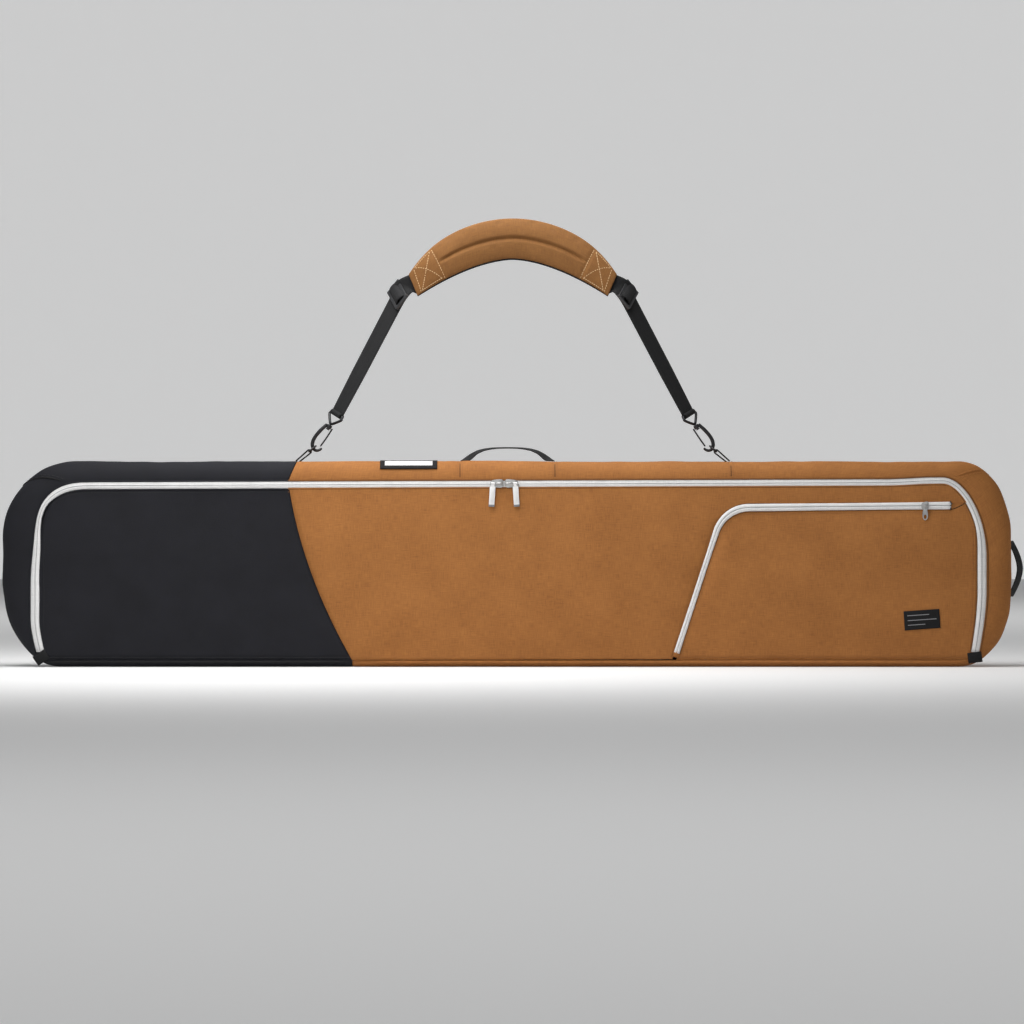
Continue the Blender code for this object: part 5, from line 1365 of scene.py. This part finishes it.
# Strap slides: moulded black plastic frames with a middle bar, turned with the webbing, which runs
# behind the end bars and stands up between them in a doubled fold.
SLIDE_TURN = math.radians(57.0)
SLIDE_LEAN = math.radians(20.0)
SLIDE_SHIFT = Vector((0.0030, 0.0016))
SLIDE_HALF = (0.0280, 0.0160)
SLIDE_INSIDE = (0.0228, 0.0108)
black_plastic = hard_finish("black_plastic", (0.030, 0.030, 0.032), (0.015, 0.015, 0.016), 0.40, 0.0)


def eased_box(work, low, high, ease):
    """Box between two corners with rounded edges, added to a bmesh."""
    made = bmesh.ops.create_cube(work, size=1.0)["verts"]
    bmesh.ops.scale(work, verts=made, vec=[b - a for a, b in zip(low, high)])
    bmesh.ops.translate(work, verts=made, vec=[(a + b) / 2.0 for a, b in zip(low, high)])
    bevelled(work, edges_of(made), ease)


def fold_place(u, v):
    """Doubled fold of webbing between the slide's end bars, in the slide's own axes."""
    run = 2.0 * u - 1.0
    stand = max(0.0, 1.0 - run * run) ** 0.6
    return Vector(((0.5 - v) * 0.0452, -0.0011 - 0.0056 * stand, 0.0112 * run))


for side, word in SIDES:
    along, level, across = strap_ways(side, WEB_WAY, SLIDE_TURN)
    deep = DEPTH_WAY * math.cos(SLIDE_TURN) - level * math.sin(SLIDE_TURN)
    lean_across = across * math.cos(SLIDE_LEAN) - along * math.sin(SLIDE_LEAN)
    lean_along = along * math.cos(SLIDE_LEAN) + across * math.sin(SLIDE_LEAN)
    seat = Matrix((lean_across, deep, lean_along)).transposed().to_4x4()
    seat.translation = on_strap(side, SLIDE_SPOT + SLIDE_SHIFT)
    wide, long = SLIDE_HALF
    inner_wide, inner_long = SLIDE_INSIDE
    work = bmesh.new()
    for way in (-1, 1):
        rail = sorted((way * inner_wide, way * wide))
        eased_box(work, (rail[0], -0.0028, -long), (rail[1], 0.0028, long), 0.0010)
        end_bar = sorted((way * inner_long, way * long))
        eased_box(work, (-wide + 0.001, -0.0034, end_bar[0]), (wide - 0.001, -0.0010, end_bar[1]), 0.0009)
    eased_box(work, (-inner_wide - 0.002, 0.0010, -0.0032), (inner_wide + 0.002, 0.0030, 0.0032), 0.0008)
    bmesh.ops.transform(work, verts=work.verts, matrix=seat)
    bmesh.ops.recalc_face_normals(work, faces=work.faces)
    sewn_piece("strap_slide_" + word, work, black_plastic, "adjuster_" + word, "black_plastic",
               "adjuster_" + word, sharp=40.0)
    work = laid_grid(24, 8, fold_place, (0.030, 0.038))
    bmesh.ops.transform(work, verts=work.verts, matrix=seat)
    sewn_piece("slide_fold_" + word, work, web_cloth, "adjuster_" + word, "webbing", thick=0.0009, offset=0.0)

# Zip sliders: pale die-cast shields over the coils. The two on the main zip stand head to head, each
# with a bridge over its head and a cross bar on its tail for the pull.
BAR_FRONT = -0.0748
MAIN_SLIDERS = (("left", -0.020, 1.0), ("right", 0.010, -1.0))
SLIDER_LINE = 0.0054
POCKET_SLIDER = (0.7235, 0.279037)
slider_metal = hard_finish("slider_metal", (0.64, 0.64, 0.63), (0.26, 0.26, 0.26), 0.34, 1.0)


def deepened(work, depth, ease):
    """Flat faces given a depth backwards, with eased rims."""
    grown = bmesh.ops.extrude_face_region(work, geom=list(work.faces))["geom"]
    moved = [item for item in grown if isinstance(item, bmesh.types.BMVert)]
    bmesh.ops.translate(work, verts=moved, vec=(0.0, depth, 0.0))
    bmesh.ops.recalc_face_normals(work, faces=work.faces)
    return rims_eased(work, ease)


def shield(tail, head, tail_wide, head_wide, front, back, ease):
    """Plate of a slider, wider at its head, with blunt rounded ends."""
    work = bmesh.new()
    rim = bmesh.ops.create_circle(work, segments=36, radius=1.0, cap_ends=True)["verts"]
    for k, vert in enumerate(rim):
        angle = 2.0 * math.pi * k / 36
        x, z = (math.copysign(abs(part) ** 0.6, part) for part in (math.cos(angle), math.sin(angle)))
        share = (x + 1.0) / 2.0
        vert.co = (tail + (head - tail) * share, front, z * (tail_wide + (head_wide - tail_wide) * share))
    return deepened(work, back - front, ease)


def slider_piece(name, x, z, slope, tail, head, bar_end, way):
    """One slider on a zip at (x, z), turned to the zip's slope; way is +1 where its head looks along x."""
    posts = bmesh.new()
    bar_front = BAR_FRONT - BAG_FRONT
    for spot in (-tail + 0.0006, bar_end - 0.0008):
        eased_box(posts, (spot - 0.0008, bar_front - 0.0016, -0.0018), (spot + 0.0008, -0.0024, 0.0018),
                  0.0005)
    neck = max(0.004, head * 0.5)
    eased_box(posts, (-tail * 0.5, -0.0020, -0.0003), (neck, 0.0016, 0.0003), 0.0001)
    eased_box(posts, (-tail * 0.7, 0.0014, -0.0028), (neck, 0.0021, 0.0003), 0.0002)
    bar = [Vector((spot, bar_front, 0.0)) for spot in (-tail, (bar_end - tail) / 2, bar_end)]
    parts = [shield(-tail, head, 0.0056, 0.0082, -0.0030, -0.0016, 0.0005),
             shield(-tail * 0.8, head * 0.84, 0.0026, 0.0050, -0.0036, -0.0026, 0.0004),
             posts, bent_rod(bar, 0.0009, 12, DEPTH_WAY)]
    if head > tail:
        arch = [Vector((spot, front, 0.0)) for spot, front in (
            (bar_end + 0.0006, -0.0028), (bar_end + 0.0016, -0.0058), (head * 0.60, -0.0066),
            (head - 0.0022, -0.0056), (head - 0.0012, -0.0028))]
        parts.append(bent_rod(arch, [0.0013, 0.0014, 0.0015, 0.0014, 0.0013], 28, Vector((0.0, 0.0, 1.0))))
    work = joined(*parts)
    turn = Matrix.Translation((x, BAG_FRONT, z)) @ Matrix.Rotation(-math.atan(slope), 4, 'Y')
    if way < 0:
        turn = turn @ Matrix.Rotation(math.pi, 4, 'Y') @ Matrix.Scale(-1.0, 4, (0.0, 0.0, 1.0))
    bmesh.ops.transform(work, verts=work.verts, matrix=turn)
    bmesh.ops.recalc_face_normals(work, faces=work.faces)
    sewn_piece(name + "_body", work, slider_metal, name, "zip_metal", name, sharp=40.0)


for word, x, way in MAIN_SLIDERS:
    slider_piece("main_slider_" + word, x, lip_height(x, SLIDER_LINE), 0.0015, 0.0090, 0.0140, 0.0004, way)
slider_piece("pocket_slider", *POCKET_SLIDER, POCKET_SLOPE, 0.0065, 0.0065, 0.0062, 1.0)

# Main pulls: flat pale grey moulded tabs with ribs and a darker cap at the tip. Each hangs in a loop on
# its slider's bar and splays out a little.
PULL_HALF = 0.0049
PULL_LENGTH = 0.0405
PULL_PLACE = 0.0044
PULL_SPLAY = 3.5
PULL_BLOCKS = ((0.0030, -0.0011, 0.0010, -0.0060, -0.0016, 0.0004),
               (PULL_HALF, -0.0012, 0.0010, -0.0370, -0.0052, 0.0008),
               (PULL_HALF * 0.68, -0.0017, -0.0008, -0.0330, -0.0080, 0.0004),
               *((PULL_HALF * 0.52, -0.0021, -0.0012, -0.0120 - 0.0028 * k, -0.0108 - 0.0028 * k, 0.0003)
                 for k in range(7)))
CAP_BLOCKS = ((PULL_HALF + 0.0003, -0.0015, 0.0012, -PULL_LENGTH, -0.0366, 0.0010),)
pull_pale = hard_finish("pull_pale", (0.80, 0.80, 0.79), (0.66, 0.66, 0.66), 0.55, 0.0)
pull_cap = hard_finish("pull_cap", (0.24, 0.24, 0.25), (0.14, 0.14, 0.15), 0.50, 0.0)
for word, x, way in MAIN_SLIDERS:
    hang = Matrix.Translation((x - way * PULL_PLACE, BAR_FRONT, lip_height(x, SLIDER_LINE)))
    hang = hang @ Matrix.Rotation(math.radians(PULL_SPLAY * way), 4, 'Y')
    for name, work, blocks, finish, *stands_for in (
            ("main_pull_tab_", barrel(0.0034, 0.0021, 0.0012), PULL_BLOCKS, pull_pale, "main_pull_" + word),
            ("main_pull_cap_", bmesh.new(), CAP_BLOCKS, pull_cap)):
        for half, front, back, low, high, ease in blocks:
            eased_box(work, (-half, front, low), (half, back, high), ease)
        bmesh.ops.transform(work, verts=work.verts, matrix=hang)
        sewn_piece(name + word, work, finish, "main_pull_" + word, "pull_grey", *stands_for, sharp=40.0)

# Pocket pull: a small die-cast teardrop with an eyelet at its wide end. A neck and a loop at the other
# end hold it on its slider's bar.
work = bmesh.new()
rims = []
for wide, long, middle, spread, taper in ((0.0058, 0.0112, -0.0138, 0.82, 0.18),
                                          (0.0025, 0.0038, -0.0190, 1.0, 0.0)):
    rims += bmesh.ops.create_circle(work, segments=28, radius=1.0, cap_ends=False)["verts"]
    for vert in rims[-28:]:
        vert.co = (vert.co.x * wide * (spread - taper * vert.co.y), -0.0011, middle + vert.co.y * long)
bmesh.ops.bridge_loops(work, edges=edges_of(rims))
deepened(work, 0.0020, 0.0004)
eased_box(work, (-0.0026, -0.0011, -0.0050), (0.0026, 0.0009, -0.0014), 0.0004)
work = joined(work, barrel(0.0043, 0.0021, 0.0012))
bmesh.ops.translate(work, verts=work.verts, vec=(POCKET_SLIDER[0], BAR_FRONT, POCKET_SLIDER[1]))
sewn_piece("pocket_pull_tab", work, slider_metal, "pocket_pull", "zip_metal", "pocket_pull", sharp=40.0)

# Seams: the cloth is turned under beside each zip and stands up as a thin rolled edge, whose tan is darkened
# as painted shade along the zips; the corner and base seams are piped, and every sewn edge has a row of
# lockstitch in matching thread.
EDGE_ROLL = ((-0.0030, -0.0016), (-0.0024, 0.0004), (-0.0016, 0.0012), (-0.0007, 0.0013), (0.0002, 0.0008),
             (0.0003, 0.0002))
PIPING_HINT = Vector((0.31, -0.90, 0.29))
LEFT_CORNER_SEAM = (2.81, 2.48)
RIGHT_CORNER_SEAM = (4.12, 4.34)
STITCH = 0.0042
STITCH_SLACK = 0.02
FRONT_WAY = Vector((0.0, -1.0, 0.0))
THREAD_WIDTH = 0.0004
THREAD_RELIEF = 0.00005
BESIDE_ZIP = 0.0188
BESIDE_POCKET = 0.0122
BASE_STITCH = 0.0165


def thread_finish(name, light, dark, rough, sheen=0.25):
    """Twisted thread, much finer than the cloth's."""
    return cloth_finish(name, light, dark, THREAD_WIDTH, rough, THREAD_RELIEF, sheen)


thread_tan = thread_finish("tan_thread", (0.300, 0.118, 0.036), (0.205, 0.076, 0.021), 0.6)
thread_black = thread_finish("black_thread", (0.020, 0.020, 0.022), (0.009, 0.009, 0.010), 0.5)
# Turned tan edge: the tan cloth at about half its brightness, painted shade along the zip tapes.
tan_edge_painted_shade = cloth_finish("tan_turned_edge_painted_shade", (0.205, 0.083, 0.0220), (0.123, 0.046, 0.0105))


def share_at(line, x):
    """Share of a zip's line at which it passes x, on its way over the top."""
    low, high = 0.16, 0.90
    for _ in range(30):
        middle = (low + high) / 2.0
        low, high = (middle, high) if line(middle, 0.0).x < x else (low, middle)
    return low


def rolled_edge(name, line, first, last, start, way, finish, body, slot):
    """Turned-under edge beside a zip, between two shares of its line, from its offset start outwards."""
    rows = len(EDGE_ROLL) - 1

    def place(u, v):
        step, rise = EDGE_ROLL[round(v * rows)]
        spot = line(first + (last - first) * u, start - way * step)
        ripple = max(0.0, wave(spot.x * 60.0, 3.0, spot.y * 60.0) * 0.0003) * (rise > 0.0)
        return Vector((spot.x, BAG_FRONT - rise - ripple, spot.y))

    work = laid_grid(max(20, int(200 * (last - first))), rows, place, (2.3 * (last - first), 0.005))
    bmesh.ops.recalc_face_normals(work, faces=work.faces)
    if sum(face.normal.y for face in work.faces) > 0.0:
        bmesh.ops.reverse_faces(work, faces=work.faces)
    sewn_piece(name, work, finish, body, slot)


main_seam = share_at(main_zip, SEAM_ZIP)
for word, first, last, finish in (("black", 0.0, main_seam, black_cloth), ("tan", main_seam, 1.0, tan_edge_painted_shade)):
    for ring, start, way, body in (("outer_", 0.0004, -1.0, "bag"), ("inner_", 0.0128, 1.0, "flap")):
        rolled_edge("zip_edge_" + ring + word, main_zip, first, last, start, way, finish, body,
                    word + "_fabric")
for word, way in (("upper", 1.0), ("lower", -1.0)):
    rolled_edge("pocket_edge_" + word, pocket_zip, 0.008, 1.0, 0.0062 * way, way, tan_edge_painted_shade, "flap",
                "tan_fabric")


def corner_t(seam, across):
    """Value of t on a seam across the gusset's corner, from the zip to the outer edge and on to the back."""
    return seam[0] + (seam[1] - seam[0]) * min(1.0, across / FRONT_SHARE)


def corner_seam(seam):
    """Piped seam across a corner, sunk where it turns over the edge."""
    def spine(u):
        across = 0.03 + 0.94 * u
        return gusset_point(corner_t(seam, across), across, 0.0014 * clamped((across - 0.14) / 0.10))
    return spine


def base_seam(left, right):
    """Piped seam along the front of the base, under the flap's hinge."""
    def spine(u):
        x = left + (right - left) * u
        return Vector((x, BAG_FRONT + 0.0003, 0.0088 + wave(x * 8.0, 1.0, 1.0) * 0.0006))
    return spine


def back_seam(start, end):
    """Piped seam round the back panel."""
    def spine(u):
        spot = body_rim(start + (end - start) * u, EDGE)
        return Vector((spot.x, BACK + 0.0004, spot.y))
    return spine


for name, spine, columns, radius, finish, word in (
        ("corner_piping_left", corner_seam(LEFT_CORNER_SEAM), 60, 0.0020, web_cloth, "black"),
        ("corner_piping_right", corner_seam(RIGHT_CORNER_SEAM), 60, 0.0016, tan_cloth, "tan"),
        ("base_piping_black", base_seam(-0.806, SEAM_BASE), 80, 0.0021, web_cloth, "black"),
        ("base_piping_tan", base_seam(SEAM_BASE, 0.802), 150, 0.0021, tan_cloth, "tan"),
        ("back_piping_black", back_seam(SEAM_BASE_T - 8.0, SEAM_TOP_T), 190, 0.0020, web_cloth, "black"),
        ("back_piping_tan", back_seam(SEAM_TOP_T, SEAM_BASE_T), 280, 0.0020, tan_cloth, "tan")):
    work = round_tube(spine, lambda u: radius * min(1.0, 0.15 + 12.0 * u, 0.15 + 12.0 * (1.0 - u)), columns,
                      8, 0.004, PIPING_HINT)
    sewn_piece(name, welded(work, 0.00001), finish, "bag", word + "_fabric")


def stitches(name, spots, finish, body, slot, width=0.0008, rise=0.0005, broken=True):
    """Row of lockstitch along spots, a list of (place, outward way); two steps of thread, one of gap.

    A row that isn't broken is solid, as a bar of thread and as the strips of painted shade where two cloths
    meet."""
    count = len(spots) - 1
    work = laid_grid(count, 2, lambda u, v: Vector((u, v, 0.0)), (0.003 * count, 0.001))
    gaps = [face for face in work.faces if broken and int(face.calc_center_median().x * count) % 3 == 2]
    bmesh.ops.delete(work, geom=gaps, context='FACES')
    for vert in work.verts:
        k = round(vert.co.x * count)
        row = round(vert.co.y * 2)
        place, out = spots[k]
        along = (spots[min(k + 1, count)][0] - spots[max(k - 1, 0)][0]).normalized()
        side = along.cross(out).normalized()
        lift = rise * (0.1 if row != 1 else 1.0 if k % 3 == 1 else 0.45)
        vert.co = place + side * (width / 2 * (row - 1)) + out * lift
    bmesh.ops.recalc_face_normals(work, faces=work.faces)
    sewn_piece(name, work, finish, body, slot)


def flap_spots(line, start, end, length, lift=0.0001):
    """Even stitch places on the flap along line(share), which gives (x, z)."""
    count = 3 * int(length / STITCH)
    return [(on_flap(*line(start + (end - start) * k / count), lift), FRONT_WAY) for k in range(count + 1)]


def beside_colour_seam(share):
    """Line beside the slanted colour seam."""
    z = 0.016 + 0.292 * share
    return colour_seam(z) + 0.004, z


for name, line, start, end, length, finish, slot in (
        ("colour_seam", beside_colour_seam, 0.0, 1.0, 0.31, thread_tan, "tan_fabric"),
        ("flap_black", lambda u: main_zip(u, BESIDE_ZIP), 0.02, main_seam, 0.95, thread_black,
         "black_fabric"),
        ("flap_tan", lambda u: main_zip(u, BESIDE_ZIP), main_seam, 0.98, 1.35, thread_tan, "tan_fabric"),
        ("pocket_upper", lambda u: pocket_zip(u, BESIDE_POCKET), 0.02, 1.0, 0.74, thread_tan, "tan_fabric"),
        ("pocket_lower", lambda u: pocket_zip(u, -BESIDE_POCKET), 0.02, 1.0, 0.74, thread_tan, "tan_fabric"),
        ("base_black", lambda u: (-0.795 + 0.535 * u, BASE_STITCH), 0.0, 1.0, 0.53, thread_black,
         "black_fabric"),
        ("base_tan", lambda u: (-0.256 + 1.050 * u, BASE_STITCH), 0.0, 1.0, 1.05, thread_tan, "tan_fabric")):
    stitches("stitch_" + name, flap_spots(line, start, end, length), finish, "flap", slot)

# Cross seams: the top band is sewn together from several lengths, and each join shows as a strip of painted
# shade with a row of stitching on both sides. A crease runs on from the pocket zip's closed end, marked by a
# line of painted shade.
BESIDE_SEAM = 0.0036
BESIDE_CORNER = 0.045
# Seam shade: dark brown strips painted where shade falls along the joins and along the crease.
seam_painted_shade = thread_finish("seam_shadow", (0.075, 0.034, 0.013), (0.045, 0.020, 0.008), 0.9, 0.0)
# Brighter orange thread: the tan stitching beside the right corner seam, brightened as painted highlight.
thread_painted_highlight = thread_finish("tan_thread_painted_highlight", (0.480, 0.190, 0.050), (0.380, 0.140, 0.034), 0.6)


def gusset_spots(turn, start, end):
    """Even places across the band between two shares of its width, at the t that turn(across) gives."""
    count = 3 * int(BAND_WIDTH * (end - start) / STITCH)
    spots = []
    for across in (start + (end - start) * k / count for k in range(count + 1)):
        place, out = gusset_face(turn(across), across)
        spots.append((place + out * 0.0002, out))
    return spots


for word, x in (("handle_left", HANDLE_SEAMS[0]), ("handle_right", HANDLE_SEAMS[1]),
                ("top_right", RIGHT_SEAM)):
    stitches("seam_" + word, gusset_spots(lambda across: top_t(x), 0.03, 0.97), seam_painted_shade, "bag",
             "tan_fabric", 0.0013, 0.0002, False)
    for shift, mark in ((-BESIDE_SEAM, "_a"), (BESIDE_SEAM, "_b")):
        stitches("stitch_" + word + mark, gusset_spots(lambda across: top_t(x + shift), 0.04, 0.96),
                 thread_tan, "bag", "tan_fabric")
# The right corner's stitches use the brightened thread: real stitching with painted highlight in its colour.
for word, seam, finish, slot in (("left", LEFT_CORNER_SEAM, thread_black, "black_fabric"),
                                 ("right", RIGHT_CORNER_SEAM, thread_painted_highlight, "tan_fabric")):
    spots = gusset_spots(lambda across: corner_t(seam, across) + BESIDE_CORNER, 0.05, 0.95)
    stitches("stitch_corner_" + word, spots, finish, "bag", slot, 0.0012, 0.0006)
spots = flap_spots(lambda u: (0.7688 + 0.0245 * u, 0.2728 + 0.0112 * u ** 1.4), 0.0, 1.0, 0.027)
stitches("pocket_crease", spots, seam_painted_shade, "flap", "tan_fabric", 0.0018, 0.0002, False)
spots = flap_spots(lambda u: pocket_zip(0.999, 0.0078 - 0.0146 * u), 0.0, 1.0, 0.014, 0.0023)
stitches("pocket_zip_stop", spots, thread_black, "flap", "webbing", 0.0017, 0.0004, False)

# Pad stitching: pale thread, one line across each end of the pad, then a box with a cross in it that
# holds the webbing.
PAD_LINES = (((0.708, 0.04), (0.787, 0.96)), ((0.955, 0.06), (0.955, 0.94)), ((0.740, 0.08), (0.945, 0.92)),
             ((0.805, 0.92), (0.940, 0.08)), ((0.735, 0.07), (0.950, 0.07)), ((0.805, 0.93), (0.950, 0.93)))
thread_pale = thread_finish("pale_thread", (0.700, 0.480, 0.265), (0.560, 0.370, 0.190), 0.7)


def pad_spots(side, start, end):
    """Stitch places on the pad's front from one (along, across) share to another."""
    places = []
    for share in (k / 60.0 for k in range(61)):
        along, across = (a + (b - a) * share for a, b in zip(start, end))
        hit = pad_surface.ray_cast(on_pad(side * along, across, -0.3), DEPTH_WAY)[0]
        if hit is not None:
            places.append((hit + FRONT_WAY * 0.0002, FRONT_WAY))
    length = sum((b[0] - a[0]).length for a, b in zip(places, places[1:]))
    count = 3 * max(3, int(length / STITCH + STITCH_SLACK))
    return [places[round(k * (len(places) - 1) / count)] for k in range(count + 1)]


for side, word in SIDES:
    for mark, (start, end) in zip("abcdef", PAD_LINES):
        stitches("stitch_pad_" + word + "_" + mark, pad_spots(side, start, end), thread_pale, "strap",
                 "tan_fabric", 0.0010, 0.0006)
